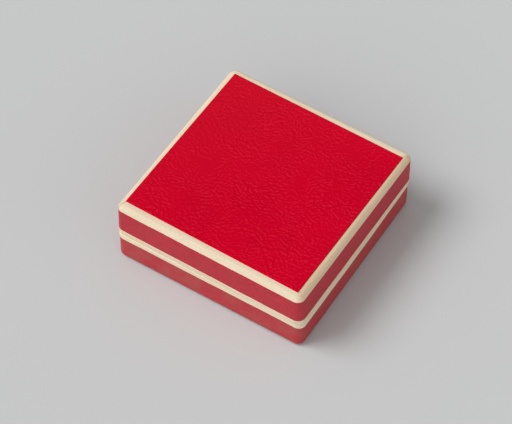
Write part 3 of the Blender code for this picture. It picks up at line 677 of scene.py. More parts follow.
def leather_group():
    """Grain of goat leather: flowing ridges broken into short runs, pebbles and slow mottling."""
    tree, given = new_group("Leather grain", Scale=600.0, Flow=5.0, Ridges=1.0, Patches=0.045)
    place = scaled(tree, given["Vector"], given["Scale"])
    along = add_node(tree, "VectorMath", place, (0.30, 0.30, 0.75), operation="DOT_PRODUCT")
    slow = noise_value(tree, place, 0.16, 1.5, 0.45)
    flow = maths(tree, "MULTIPLY_ADD", slow, given["Flow"], along.outputs["Value"])
    wave = maths(tree, "SINE", maths(tree, "MULTIPLY", flow, 2.0 * pi))
    wave = maths(tree, "MULTIPLY_ADD", wave, 0.5, 0.5)
    breaks = noise_value(tree, place, 0.9, 2.0, 0.55)
    ridges = maths(tree, "MULTIPLY", wave, map_value(tree, breaks, 0.35, 0.62))
    ridges = maths(tree, "MULTIPLY", ridges, given["Ridges"])
    pebbles = add_node(tree, "TexVoronoi", place, feature="SMOOTH_F1", Scale=1.9, Smoothness=0.6)
    fine = noise_value(tree, place, 5.0, 3.0, 0.6)
    height = maths(tree, "MULTIPLY_ADD", ridges, 0.50, 0.2)
    height = maths(tree, "MULTIPLY_ADD", pebbles.outputs["Distance"], -0.25, height)
    height = maths(tree, "MULTIPLY_ADD", fine, 0.30, height)
    mottle = noise_value(tree, scaled(tree, place, given["Patches"]), 1.0, 4.0, 0.6)
    return close_group(tree, Height=height, Ridge=map_value(tree, height, 0.15, 0.65), Mottle=mottle)


def paper_group():
    """Brushed and fibrous paper: streaks along X or Y, fibres, specks and slow toning."""
    tree, given = new_group("Paper fibre", Scale=1000.0, Side=0.5)
    place = scaled(tree, given["Vector"], given["Scale"])
    across_front = noise_value(tree, multiply(tree, place, (0.12, 1.6, 1.6)), 0.75, 3.0, 0.6)
    across_side = noise_value(tree, multiply(tree, place, (1.6, 0.12, 1.6)), 0.75, 3.0, 0.6)
    turned_streaks = maths(tree, "SUBTRACT", across_side, across_front)
    streak = maths(tree, "MULTIPLY_ADD", turned_streaks, given["Side"], across_front)
    fibre = noise_value(tree, place, 1.3, 4.0, 0.65)
    tone = noise_value(tree, place, 0.09, 2.0, 0.5)
    speck = noise_value(tree, place, 0.75, 2.0, 0.6)
    return close_group(tree, Height=weighted_sum(tree, streak, 0.4, fibre, 0.7),
                       Streak=weighted_sum(tree, fibre, 0.5, streak, 0.5), Tone=tone,
                       Speck=map_value(tree, speck, 0.66, 0.78))


def wear_group():
    """Scuffed edges, and edges with painted shade and highlight: a mask carried by the mesh, broken up by
    noise.
    """
    tree, given = new_group("Edge wear", Mask=0.0, Scale=500.0)
    ragged = noise_value(tree, scaled(tree, given["Vector"], given["Scale"]), 1.0, 4.0, 0.65)
    level = maths(tree, "ADD", given["Mask"], maths(tree, "SUBTRACT", ragged, 0.5))
    return close_group(tree, Worn=map_value(tree, level, 0.55, 1.05))


def cloth_group():
    """Close weave: fine crossed threads and slow unevenness."""
    tree, given = new_group("Cloth threads", Scale=1000.0, Slant=0.2)
    place = scaled(tree, given["Vector"], given["Scale"])
    warp, weft = (add_node(tree, "TexWave", place, wave_type="BANDS", bands_direction=axis, Scale=1.1,
                           Distortion=0.6, Detail=1.0, Detail_Scale=0.4).outputs["Fac"] for axis in "XY")
    threads = maths(tree, "MULTIPLY_ADD", warp, given["Slant"], weft)
    fuzz = noise_value(tree, place, 1.7, 3.0, 0.6)
    tone = noise_value(tree, place, 0.06, 3.0, 0.55)
    return close_group(tree, Height=maths(tree, "MULTIPLY_ADD", fuzz, 0.5, threads), Thread=fuzz, Tone=tone)


def metal_group():
    """Drawn and handled metal: fine lines along X, dull patches and small pits."""
    tree, given = new_group("Drawn metal", Scale=1000.0)
    place = scaled(tree, given["Vector"], given["Scale"])
    lines = noise_value(tree, multiply(tree, place, (0.12, 6.0, 6.0)), 1.0, 3.0, 0.6)
    tarnish = noise_value(tree, place, 0.35, 4.0, 0.6)
    pits = noise_value(tree, place, 5.0, 2.0, 0.5)
    return close_group(tree, Height=weighted_sum(tree, lines, 0.6, pits, 0.4), Lines=lines,
                       Tarnish=map_value(tree, tarnish, 0.45, 0.75))


def wood_group():
    """Straight-grained pale wood, its grain along X."""
    tree, given = new_group("Wood grain", Scale=1000.0)
    place = scaled(tree, given["Vector"], given["Scale"])
    bands = add_node(tree, "TexWave", multiply(tree, place, (0.05, 1.0, 1.0)), wave_type="BANDS",
                     bands_direction="Z", Scale=0.35, Distortion=5.0, Detail=3.0, Detail_Scale=0.6)
    ring = bands.outputs["Fac"]
    pore = noise_value(tree, multiply(tree, place, (0.25, 4.0, 4.0)), 1.0, 3.0, 0.6)
    return close_group(tree, Height=weighted_sum(tree, ring, 0.4, pore, 0.6), Ring=ring, Pore=pore)


GROUP_MAKERS = {"Leather grain": leather_group, "Paper fibre": paper_group, "Edge wear": wear_group,
                "Cloth threads": cloth_group, "Drawn metal": metal_group, "Wood grain": wood_group}


# Materials

def rubbed(tree, base, bared, place, scale, weight):
    """A colour with another laid where the mesh's mask says: scuffs and soiling, a painted highlight at the
    side leather's upright corners and painted shade along the panel's edge.
    """
    worn = use_group(tree, "Edge wear", place, Scale=scale, Mask=attribute_value(tree, "wear"))["Worn"]
    return lay_over(tree, base, bared, worn, weight)


def feed_leather(tree, shader, base, grain):
    """Link a leather's colour to the shader, with the gloss and the bump of its grain."""
    roughness = map_value(tree, grain["Mottle"], 0.2, 0.8, 0.46, 0.62)
    feed(tree, shader, base, roughness, grain["Height"], 0.04 * MM)


def panel_material(name, colour, ridge, scale):
    """Bright grained leather: the mesh carries its ridges, and the pores between them are here; its colour
    has painted shade in the creases and a painted highlight on the ridges.
    """
    made, tree, shader, place = new_material(name, Specular_IOR_Level=0.02)
    grain = use_group(tree, "Leather grain", place, Scale=scale, Ridges=0.0)
    base = tones(tree, grain["Mottle"], 0.30, 0.70, colour, 0.95, 1.04)
    # Painted sheen: a slightly greyer, bluer red laid towards the back left corner.
    faded = (colour[0], colour[1] + 0.008, colour[2] * 1.25)
    base = lay_over(tree, base, faded, attribute_value(tree, "faded"), 0.5)
    carried = attribute_value(tree, "grain")
    # Painted shade: a darker red in the low creases of the grain that the mesh carries.
    base = blend_colour(tree, map_value(tree, carried, 0.05, 0.45, 0.48, 0.0), base, shade(colour, 0.86))
    # Painted highlight: the lighter ridge colour on the high parts of that grain.
    base = deepen(tree, base, ridge, carried, 0.50, 1.0, 0.85)
    # Painted shade: a darker red along the panel's edge, broken up by noise.
    base = rubbed(tree, base, shade(colour, 0.80), place, LEATHER_WEAR, 0.5)
    feed_leather(tree, shader, base, grain)
    return made


def leather_material(name, colour, dust, scale):
    """Matt leather of the sides: painted shade darkens its creases and a painted highlight lightens its
    ridges; its corners are scuffed and carry a painted highlight, and its flats are dulled and greyed by a
    painted sheen.
    """
    made, tree, shader, place = new_material(name, Specular_IOR_Level=0.35)
    grain = use_group(tree, "Leather grain", place, Scale=scale, Ridges=1.0, Patches=0.24)
    # Painted shade and highlight: darker red in the grain's creases and lighter on its ridges.
    base = tones(tree, grain["Ridge"], 0.0, 1.0, colour, 0.84, 1.10)
    patches = map_value(tree, grain["Mottle"], 0.32, 0.68, 0.3, 1.5)
    # Greyer red in mottled patches: dulled leather, with a painted sheen in its grey.
    base = lay_over(tree, base, dust, attribute_value(tree, "dust"), patches)
    # Paler red: scuffed leather, and at the upright corners a painted highlight as well.
    pale = tuple(channel + (0.62 - channel) * 0.22 for channel in colour)
    base = rubbed(tree, base, pale, place, LEATHER_WEAR, 0.6)
    feed_leather(tree, shader, base, grain)
    return made


def paper_material(name, colour):
    """Cream paper with faint streaks along its strips, with an aged tone, soiled where hands touch it, with
    painted shade on the top's right strip and painted light on its left and back strips.
    """
    made, tree, shader, place = new_material(name, Specular_IOR_Level=0.25)
    fibre = use_group(tree, "Paper fibre", place, Scale=1000.0, Side=attribute_value(tree, "side"))
    base = tones(tree, fibre["Streak"], 0.36, 0.64, colour, 0.90, 1.04)
    base = deepen(tree, base, tint(colour, (0.97, 0.95, 0.88)), fibre["Tone"], 0.35, 0.75, 0.5)
    base = lay_over(tree, base, shade(colour, 0.72), fibre["Speck"], 0.5)
    # Painted shade: a warmer, darker tone on the top's right strip, the side turned from the key lamp.
    handled = blend_colour(tree, attribute_value(tree, "toned"), (1.0, 1.0, 1.0), (0.98, 0.90, 0.84))
    # Painted light: the top's left and back strips are made lighter.
    handled = blend_colour(tree, attribute_value(tree, "clean"), handled, (1.15, 1.15, 1.15))
    base = multiply(tree, base, handled)
    base = rubbed(tree, base, tint(colour, (0.62, 0.50, 0.36)), place, PAPER_WEAR, 0.6)
    roughness = map_value(tree, fibre["Streak"], 0.3, 0.7, 0.50, 0.66)
    feed(tree, shader, base, roughness, fibre["Height"], 0.02 * MM)
    return made


def plain_paper_material(name, colour, depth):
    """Paper or card whose mesh carries no wear."""
    made, tree, shader, place = new_material(name, Specular_IOR_Level=0.2)
    fibre = use_group(tree, "Paper fibre", place, Scale=700.0)
    base = tones(tree, fibre["Streak"], 0.3, 0.7, colour, 0.86, 1.10)
    base = deepen(tree, base, shade(colour, 0.8), fibre["Tone"], 0.4, 0.7, 0.4)
    roughness = map_value(tree, fibre["Tone"], 0.3, 0.7, 0.72, 0.88)
    feed(tree, shader, base, roughness, fibre["Height"], depth)
    return made


def velvet_material(name, colour):
    """Short pile: dark body with a lighter sheen where it is seen edge on."""
    made, tree, shader, place = new_material(name, Specular_IOR_Level=0.1, Sheen_Weight=0.9,
                                             Sheen_Roughness=0.35, Sheen_Tint=(0.55, 0.42, 0.80))
    pile = use_group(tree, "Cloth threads", place, Scale=4000.0, Slant=0.6)
    brushed = noise_value(tree, multiply(tree, place, (160.0, 70.0, 90.0)), 1.0, 3.0, 0.6)
    base = tones(tree, brushed, 0.35, 0.68, colour, 0.65, 1.7)
    base = deepen(tree, base, shade(colour, 2.2), pile["Thread"], 0.40, 0.70, 0.6)
    feed(tree, shader, base, map_value(tree, brushed, 0.3, 0.7, 0.86, 1.0), pile["Height"], 0.02 * MM)
    return made


def satin_material(name, colour):
    """Close satin weave with a soft sheen."""
    made, tree, shader, place = new_material(name, Specular_IOR_Level=0.5, Sheen_Weight=0.25,
                                             Sheen_Roughness=0.3, Anisotropic=0.4)
    weave = use_group(tree, "Cloth threads", place, Scale=2600.0, Slant=0.15)
    base = tones(tree, weave["Tone"], 0.3, 0.7, colour, 0.93, 1.03)
    base = deepen(tree, base, shade(colour, 0.86), weave["Thread"], 0.35, 0.75, 0.35)
    roughness = map_value(tree, weave["Tone"], 0.3, 0.7, 0.30, 0.42)
    feed(tree, shader, base, roughness, weave["Height"], 0.012 * MM)
    return made


def metal_material(name, colour, shiny, dull):
    """Drawn metal with dull patches; shiny and dull are its least and greatest roughness."""
    made, tree, shader, place = new_material(name, Metallic=1.0)
    drawn = use_group(tree, "Drawn metal", place, Scale=1000.0)
    base = tones(tree, drawn["Lines"], 0.35, 0.65, colour, 0.9, 1.06)
    base = lay_over(tree, base, tint(colour, (0.55, 0.48, 0.42)), drawn["Tarnish"], 0.6)
    roughness = map_value(tree, drawn["Tarnish"], 0.0, 1.0, shiny, dull)
    feed(tree, shader, base, roughness, drawn["Height"], 0.001 * MM)
    return made


def wood_material(name, colour):
    """Raw pale wood."""
    made, tree, shader, place = new_material(name, Specular_IOR_Level=0.25)
    grain = use_group(tree, "Wood grain", place, Scale=1000.0)
    base = blend_colour(tree, grain["Ring"], shade(colour, 1.08), shade(colour, 0.74))
    base = deepen(tree, base, shade(colour, 0.55), grain["Pore"], 0.55, 0.75, 0.5)
    roughness = map_value(tree, grain["Pore"], 0.3, 0.7, 0.62, 0.8)
    feed(tree, shader, base, roughness, grain["Height"], 0.03 * MM)
    return made


# Pieces

def from_walls(place):
    """How far inwards a place is from the nearer side wall, and from the nearer of the front and the back."""
    return HALF_WIDTH - abs(place.x), HALF_DEPTH - abs(place.y - CASE_Y)


def in_corner(place, reach):
    """How near a place is to one of the four upright corners, from 0 to 1."""
    return near(max(from_walls(place)), reach)


def case_box(low_z, high_z, proud=0.0):
    """Two corners of the case's covering between two heights, or of what stands proud of it."""
    reach = Vector((HALF_WIDTH + proud, HALF_DEPTH + proud, 0.0))
    return Vector((0.0, CASE_Y, low_z)) - reach, Vector((0.0, CASE_Y, high_z)) + reach


def cut_opening(piece, half_x, half_y):
    """In edit mode, cut an opening with like corners into the selected face."""
    first_inset = 0.05 * MM
    bpy.ops.mesh.inset(thickness=first_inset, use_even_offset=True)
    shape = bmesh.from_edit_mesh(piece.data)
    inner = [vert for vert in shape.verts if vert.select]
    wide = max(vert.co.x for vert in inner)
    deep = max(vert.co.y - CASE_Y for vert in inner)
    for vert in inner:
        vert.co.x *= half_x / wide
        vert.co.y = CASE_Y + (vert.co.y - CASE_Y) * half_y / deep
    bmesh.update_edit_mesh(piece.data)
    bpy.ops.mesh.delete(type="FACE")


def ring_sheet(name, low, high, corner, radius, steps, opening, fullness=0.5, way=UP):
    """An open sheet: four sides with round corners and, above or below, a rim round an opening."""
    piece = add_block(name, low, high)
    edit(piece)
    choose(piece, "FACE", lambda face: faces(face, -way))
    bpy.ops.mesh.delete(type="FACE")
    choose(piece, "EDGE", lambda edge: runs_along(edge, 2))
    bevel(corner, CORNER_STEPS)
    choose(piece, "EDGE", lambda edge: on_level(edge, high.z if way == UP else low.z))
    bevel(radius, steps, fullness)
    choose(piece, "FACE", lambda face: faces(face, way) and face.calc_area() > LARGE_AREA)
    cut_opening(piece, *opening)
    return piece


def turned(place, angle):
    """Shift of a place when what it is on turns about the case's upright middle line."""
    return Vector((-angle * (place.y - CASE_Y), angle * place.x, 0.0))


def lid_lean(place, sizes):
    """Shift of the lid's covering: its left wall leans in at the top and its right wall out at the rim."""
    zone = 3.0 * MM
    height = ramp(place.z, LID_RIM_HIGH.z, TOP_EDGING_LOW.z)
    towards_front = ramp(CASE_Y - place.y, -HALF_DEPTH, HALF_DEPTH)
    left = near(HALF_WIDTH + place.x, zone) * height
    right = near(HALF_WIDTH - place.x, zone) * (1.0 - height) * towards_front
    return Vector((sizes.wall_lean * (left + right), 0.0, 0.0))


def base_shift(place, sizes):
    """Shift of the base's covering: turned slightly under the lid, its right wall leaning in at the back."""
    zone = 8.0 * MM
    share_of_lean = 0.4
    true_to_hinge = ramp(CASE_Y - place.y, 0.2 * HALF_DEPTH, 0.6 * HALF_DEPTH)
    towards_back = ramp(place.y - CASE_Y, -HALF_DEPTH, HALF_DEPTH)
    right = near(HALF_WIDTH - place.x, zone) * ramp(-place.z, -BASE_RIM_LOW.z, 0.0)
    shift = turned(place, sizes.base_turn)
    shift.y *= true_to_hinge
    shift.x -= share_of_lean * sizes.wall_lean * right * towards_back
    return shift


class MEDALCASE_OT_top_panel(Operator):
    """Model the grained red leather panel in the top of the lid"""

    bl_idname = "medal_case.top_panel"
    bl_label = "Top Panel"

    def execute(self, context):
        sizes = context.scene.medal_covering
        edge_radius = 0.22 * MM
        smallest_cell = 0.05 * MM * MM
        panel = add_sheet("lid_panel_leather", PANEL_LOW, PANEL_HIGH, sizes.panel_cells)
        edit(panel)
        bpy.ops.mesh.select_all(action="SELECT")
        extrude(PANEL_LOW.z - PANEL_HIGH.z)
        bpy.ops.mesh.select_all(action="SELECT")
        bpy.ops.mesh.normals_make_consistent(inside=False)
        choose(panel, "FACE", lambda face: faces(face, DOWN))
        bpy.ops.mesh.dissolve_faces()
        choose(panel, "EDGE", lambda edge: on_level(edge, PANEL_HIGH.z)
               and any(is_upright(face) for face in edge.link_faces))
        bevel(edge_radius, 3)
        choose(panel, "FACE", lambda face: faces(face, UP) and face.calc_area() > smallest_cell)
        bpy.ops.mesh.subdivide(number_cuts=1)
        deselect()
        self.lay(panel, sizes)
        self.press_grain(panel, sizes)
        mark(panel, wear=self.wear, faded=self.faded)
        finish = panel_material("panel_leather", sizes.panel_colour, sizes.ridge_colour,
                                1.0 / sizes.grain_size)
        dress(panel, finish, "lid", ["lid_top_panel"], angle=60.0)
        return {"FINISHED"}

    @staticmethod
    def lay(panel, sizes):
        """Turn the panel slightly in its place, as it was laid by hand."""
        def shift(place):
            keep_back = Vector((place.x, place.y - CASE_Y, 0.0)) * (sizes.panel_gap / PANEL_HALF_WIDTH)
            return turned(place, -sizes.panel_turn) - keep_back

        move_points(panel, shift)

    @staticmethod
    def faded(place):
        """Painted sheen that greys the red slightly towards the back left corner, on the far side."""
        towards_corner = (place.y - place.x) / HALF_WIDTH
        return ramp(towards_corner, -0.6, 1.9)

    @staticmethod
    def wear(place):
        """Painted shade along the panel's edge, where it meets the edging."""
        apart = min(PANEL_HALF_WIDTH - abs(place.x), PANEL_HALF_DEPTH - abs(place.y - CASE_Y))
        return 0.55 * near(apart, 0.8 * MM)

    @staticmethod
    def press_grain(panel, sizes):
        """Raise flowing ridges on the upper face and keep their height as an attribute."""
        ridge = flowing_grain(PANEL_LOW, PANEL_HIGH, sizes.grain_size, sizes.grain_turn)
        below_face = PANEL_HIGH.z - 0.02 * MM
        mark(panel, grain=ridge)

        def sink(place):
            if place.z < below_face:
                return Vector((0.0, 0.0, 0.0))
            flat = Vector((place.x, place.y, 0.0))
            swell = 0.5 + 0.5 * roughly(flat, 16.0 * sizes.grain_size, 21.0)
            return Vector((0.0, 0.0, -sizes.grain_depth * (1.0 - ridge(place) + 0.5 * swell)))

        move_points(panel, sink)


def flowing_grain(low, high, spacing, turn):
    """Ridges that flow over a rectangle: many short waves whose direction drifts from place to place."""
    step = spacing / 8
    margin = 4 * spacing
    waves_per_cell = 2.2
    length, width = 0.80, 0.58
    drift, scatter = radians(80.0), radians(34.0)
    wide = int((high.x - low.x + 2 * margin) / step)
    deep = int((high.y - low.y + 2 * margin) / step)
    field = np.zeros((deep, wide))
    random = np.random.default_rng(7)
    reach = int(2.6 * spacing / step)
    down, right = np.mgrid[-reach:reach + 1, -reach:reach + 1] * (step / spacing)
    for wave in range(int(waves_per_cell * wide * deep * (step / spacing) ** 2)):
        row = random.integers(reach, deep - reach - 1)
        column = random.integers(reach, wide - reach - 1)
        place = Vector((column * step, row * step, 0.0))
        angle = turn + drift * roughly(place, 8.0 * spacing, 3.0) + scatter * random.normal()
        along = right * cos(angle) + down * sin(angle)
        across = down * cos(angle) - right * sin(angle)
        pace = 1.0 + 0.20 * random.normal()
        fade = np.exp(-0.5 * ((along / length) ** 2 + (across / width) ** 2))
        fade *= 0.8 + 0.8 * roughly(place, 6.0 * spacing, 12.0)
        crests = np.cos(2.0 * pi * (across * pace + random.random()))
        field[row - reach:row + reach + 1, column - reach:column + reach + 1] += fade * crests
    field = 0.5 + 0.5 * np.tanh(0.7 * field / field.std())

    def ridge(place):
        """Height of the grain at a place, from 0 to 1, read between the field's four nearest points."""
        column = (place.x - low.x + margin) / step
        row = (place.y - low.y + margin) / step
        left, under = int(column), int(row)
        share_x, share_y = column - left, row - under
        front = field[under, left] * (1.0 - share_x) + field[under, left + 1] * share_x
        back = field[under + 1, left] * (1.0 - share_x) + field[under + 1, left + 1] * share_x
        return front * (1.0 - share_y) + back * share_y

    return ridge


class MEDALCASE_OT_side_leather(Operator):
    """Model the leather round the lid and the leather round and under the base"""

    bl_idname = "medal_case.side_leather"
    bl_label = "Side Leather"

    def execute(self, context):
        sizes = context.scene.medal_covering
        finish = leather_material("side_leather", sizes.side_colour, sizes.dust_colour, SIDE_GRAIN)
        for body, model, shift, dust in (("lid", self.lid_band, lid_lean, sizes.lid_dust),
                                         ("base", self.base_tray, base_shift, sizes.base_dust)):
            sheet = model(sizes)
            self.cut_cells(sheet)
            move_points(sheet, self.uneven)
            move_points(sheet, lambda place: shift(place, sizes))
            thicken(sheet, sizes.leather_thickness)
            make_room_for_hinge(sheet)
            mark(sheet, wear=self.wear, dust=lambda place: dust)
            dress(sheet, finish, body, [body + "_side_leather"])
        return {"FINISHED"}

    @staticmethod
    def wear(place):
        """Rubbing at the upright corners, which also carry a painted highlight, and along the lower edge."""
        low_edge = ramp(BASE_LEATHER_LOW.z + 1.6 * MM - place.z, 0.0, 1.4 * MM)
        return max(0.75 * in_corner(place, CORNER_WEAR), 0.55 * low_edge)

    @staticmethod
    def uneven(place):
        """Slight unevenness of leather pasted over board, on the walls and not between them."""
        depth, size = 0.04 * MM, 7.0 * MM
        outward = Vector(((place.x / HALF_WIDTH) ** 9, ((place.y - CASE_Y) / HALF_DEPTH) ** 9, 0.0))
        return outward * (-depth * (0.5 + 0.5 * roughly(place, size, 2.0)))

    @staticmethod
    def cut_cells(sheet):
        """In edit mode, cut a sheet's walls into small cells, so that they can be uneven."""
        choose(sheet, "EDGE", lambda edge: runs_along(edge, 2) and edge.calc_length() > SHORTEST_UPRIGHT)
        bpy.ops.mesh.subdivide(number_cuts=UPRIGHT_CUTS)
        cut_long_runs(sheet, LEATHER_CELL)
        deselect()

    @staticmethod
    def lid_band(sizes):
        """Sheet round the lid's walls, from above its rim to under the paper of the top edge."""
        above_rim, lap = 0.5 * MM, 0.7 * MM
        low, high = case_box(LID_RIM_LOW.z + above_rim, TOP_EDGING_HIGH.z - PROUD)
        band = ring_sheet("lid_leather_sides", low, high, sizes.corner_radius, sizes.bevel_width, 6,
                          (PANEL_HALF_WIDTH, PANEL_HALF_DEPTH), sizes.bevel_fullness)
        cut_at(TOP_EDGING_LOW.z + lap, DOWN)
        return band

    @staticmethod
    def base_tray(sizes):
        """Sheet round the base's walls, from below its rim, turned under the bottom on all sides."""
        below_rim = 0.45 * MM
        low, high = case_box(BASE_LEATHER_LOW.z, BASE_RIM_HIGH.z - below_rim)
        return ring_sheet("base_leather_sides", low, high, sizes.corner_radius, sizes.bottom_radius, 6,
                          (HALF_WIDTH - sizes.turn_in, HALF_DEPTH - sizes.turn_in), way=DOWN)


def make_room_for_hinge(piece):
    """Cut the round groove for the hinge's barrel and the slot through which its leaves pass inside."""
    clearance = 0.3 * MM
    slot_depth, slot_inwards = 12.0 * MM, 4.0 * MM
    half_length = PIN_HALF + clearance
    deselect()
    bpy.ops.mesh.primitive_cylinder_add(vertices=32, radius=BARREL_RADIUS + clearance, depth=2 * half_length,
                                        location=AXIS, rotation=(0.0, pi / 2, 0.0))
    boolean_cut(piece, name_new("hinge_groove"))
    slot = Vector((half_length, slot_depth / 2, BARREL_RADIUS + clearance / 2))
    middle = AXIS - Vector((0.0, slot_inwards, 0.0))
    boolean_cut(piece, add_block("hinge_slot", middle - slot, middle + slot))


def on_side(place):
    """1 on the strips of paper that run along the left and right sides, 0 on those in front and behind."""
    mitre = 0.1 * MM
    apart_x, apart_y = from_walls(place)
    return ramp(apart_y - apart_x, -mitre, mitre)


def on_right(place):
    """1 on the strip of paper along the right side, the side in shade, which gets a warmer, darker painted
    shade.
    """
    return on_side(place) * ramp(place.x, 0.0, HALF_WIDTH / 2)


def is_clean(place):
    """1 on the strips of paper on the left and behind, which get painted light."""
    side = on_side(place)
    left = ramp(-place.x, 0.0, HALF_WIDTH / 2)
    behind = ramp(place.y - CASE_Y, 0.0, HALF_DEPTH / 2)
    return side * left + (1.0 - side) * behind


class MEDALCASE_OT_edging(Operator):
    """Model the cream paper on the lid's top edge and round both rims"""

    bl_idname = "medal_case.edging"
    bl_label = "Paper Edging"

    def execute(self, context):
        sizes = context.scene.medal_covering
        rim_paper = paper_material("edging_paper", shade(sizes.paper_colour, 1.06))
        # The top's paper is a darker copy of the same cream: painted shade over the whole top edging, which
        # the painted light on its left and back strips lifts again.
        self.top(sizes, paper_material("top_edging_paper", shade(sizes.paper_colour, 0.945)))
        for body in ("base", "lid"):
            self.rim(sizes, rim_paper, body)
        return {"FINISHED"}

    @staticmethod
    def top(sizes, finish):
        """Paper that rolls over the lid's top edge and under the panel, mitred at its corners."""
        edge_z = TOP_EDGING_LOW.z
        lap = 0.7 * MM
        fold_width, fold_depth = 0.35 * MM, 0.07 * MM
        slope = sizes.bevel_width + PROUD
        low, high = case_box(TOP_EDGING_HIGH.z - 3 * slope, TOP_EDGING_HIGH.z, PROUD)
        paper = ring_sheet("lid_edging_top", low, high, sizes.corner_radius + PROUD, slope, 10,
                           (PANEL_HALF_WIDTH - lap, PANEL_HALF_DEPTH - lap), sizes.bevel_fullness)
        cut_long_runs(paper, PAPER_CELL)
        cut_at(edge_z, UP)
        deselect()

        def settle(place):
            """Let the cut edge stray, fold the paper in at the mitres and lean it with the leather."""
            lift = near(place.z - edge_z, 0.5 * MM) * waver(place, sizes, 11.0 * MM, 2.5 * MM, (4.0, 9.0))
            apart_x, apart_y = from_walls(place)
            fold = near(abs(apart_x - apart_y), fold_width)
            fold *= ramp(1.6 * sizes.corner_radius - max(apart_x, apart_y), 0.0, 1.0 * MM)
            outward = Vector((place.x / HALF_WIDTH, (place.y - CASE_Y) / HALF_DEPTH, 0.6)).normalized()
            return Vector((0.0, 0.0, lift)) - fold_depth * fold * outward + lid_lean(place, sizes)

        def wear(place):
            """Soiled by hands along its lower edge and at its corners, and darkest along the mitre in front
            on the left.
            """
            low_edge = 0.20 * near(place.z - edge_z, 0.3 * MM)
            corner = in_corner(place, CORNER_WEAR)
            if place.x > 0.0 or place.y > CASE_Y:
                return max(low_edge, 0.62 * corner, PAPER_HANDLED)
            margin = Vector((HALF_WIDTH - PANEL_HALF_WIDTH, PANEL_LOW.y - CASE_Y + HALF_DEPTH))
            apart = Vector((HALF_WIDTH + place.x, place.y - CASE_Y + HALF_DEPTH))
            off_mitre = abs(apart.x * margin.y - apart.y * margin.x) / margin.length
            mitre = 1.4 * ramp(0.55 * MM - off_mitre, 0.0, 0.35 * MM)
            return max(low_edge, corner, mitre, PAPER_HANDLED)

        move_points(paper, settle)
        thicken(paper, sizes.paper_thickness)
        mark(paper, wear=wear, side=on_side, toned=on_right, clean=is_clean)
        dress(paper, finish, "lid", ["lid_top_edging"], angle=50.0)

    @staticmethod
    def rim(sizes, finish, body):
        """Paper folded over one rim: down the side, over the edge and a little way down inside."""
        of_base = body == "base"
        low, high = (BASE_RIM_LOW, BASE_RIM_HIGH) if of_base else (LID_RIM_LOW, LID_RIM_HIGH)
        rim_z = high.z if of_base else low.z
        seeds = (14.0, 17.0) if of_base else (31.0, 34.0)
        rim_radius, inside = 0.25 * MM, 1.3 * MM
        paper = ring_sheet(body + "_edging_rim", low, high, sizes.corner_radius + PROUD, rim_radius, 4,
                           (INNER_HALF_WIDTH, INNER_HALF_DEPTH))
        cut_long_runs(paper, PAPER_CELL)
        choose(paper, "EDGE", lambda edge: edge.is_boundary and on_level(edge, high.z))
        extrude(-inside)
        deselect()

        def settle(place):
            """Let the cut edge stray and lean the paper with the leather that it covers."""
            lift = waver(place, sizes, 9.0 * MM, 2.2 * MM, seeds)
            lean = base_shift(place, sizes) if of_base else lid_lean(place, sizes)
            outside = ramp(-min(from_walls(place)), -2.0 * MM, -0.5 * MM)
            if of_base:
                backwards = ramp(place.y - CASE_Y, -0.1 * HALF_DEPTH, 1.2 * HALF_DEPTH)
                right = near(HALF_WIDTH - place.x, 4.0 * MM)
                lift += right * (sizes.band_taper * backwards - sizes.band_drop)
            return Vector((0.0, 0.0, lift * near(place.z - low.z, 0.7 * MM))) + outside * lean

        def wear(place):
            """Handled along the rim and at the corners."""
            lip = near(abs(place.z - rim_z), 0.30 * MM)
            return max(0.40 * lip, 0.60 * in_corner(place, 2.4 * MM), PAPER_HANDLED)

        move_points(paper, settle)
        thicken(paper, sizes.paper_thickness)
        if not of_base:
            turn_over(paper, low.z + high.z)
        make_room_for_hinge(paper)
        mark(paper, wear=wear, side=on_side)
        dress(paper, finish, body, [body + "_rim_edging"], angle=50.0)


class MEDALCASE_OT_boards(Operator):
    """Give the wooden boards and the sheet under the base their materials"""

    bl_idname = "medal_case.boards"
    bl_label = "Boards"

    def execute(self, context):
        colours = context.scene.medal_linings
        wood = wood_material("raw_wood", colours.board_colour)
        walls = [body + "_" + side + "_wall" for body in ("base", "lid") for side in SIDES]
        for node in ("base_floor_board", "lid_top_board", *walls):
            paint_node(node, wood)
        sheet = plain_paper_material("underside_paper", colours.underside_colour, 0.06 * MM)
        paint_node("base_underside_paper", sheet)
        return {"FINISHED"}


class MEDALCASE_OT_collar(Operator):
    """Model the cream card strips that stand inside the base"""

    bl_idname = "medal_case.collar"
    bl_label = "Collar"

    def execute(self, context):
        card = plain_paper_material("collar_card", context.scene.medal_covering.paper_colour, 0.02 * MM)
        for node in ("collar_front", "collar_left", "collar_right", "base_back_lining"):
            strip = copy_node(node, node + "_card")
            ease_edges(strip, 0.06 * MM)
            dress(strip, card, "base", [node])
        return {"FINISHED"}


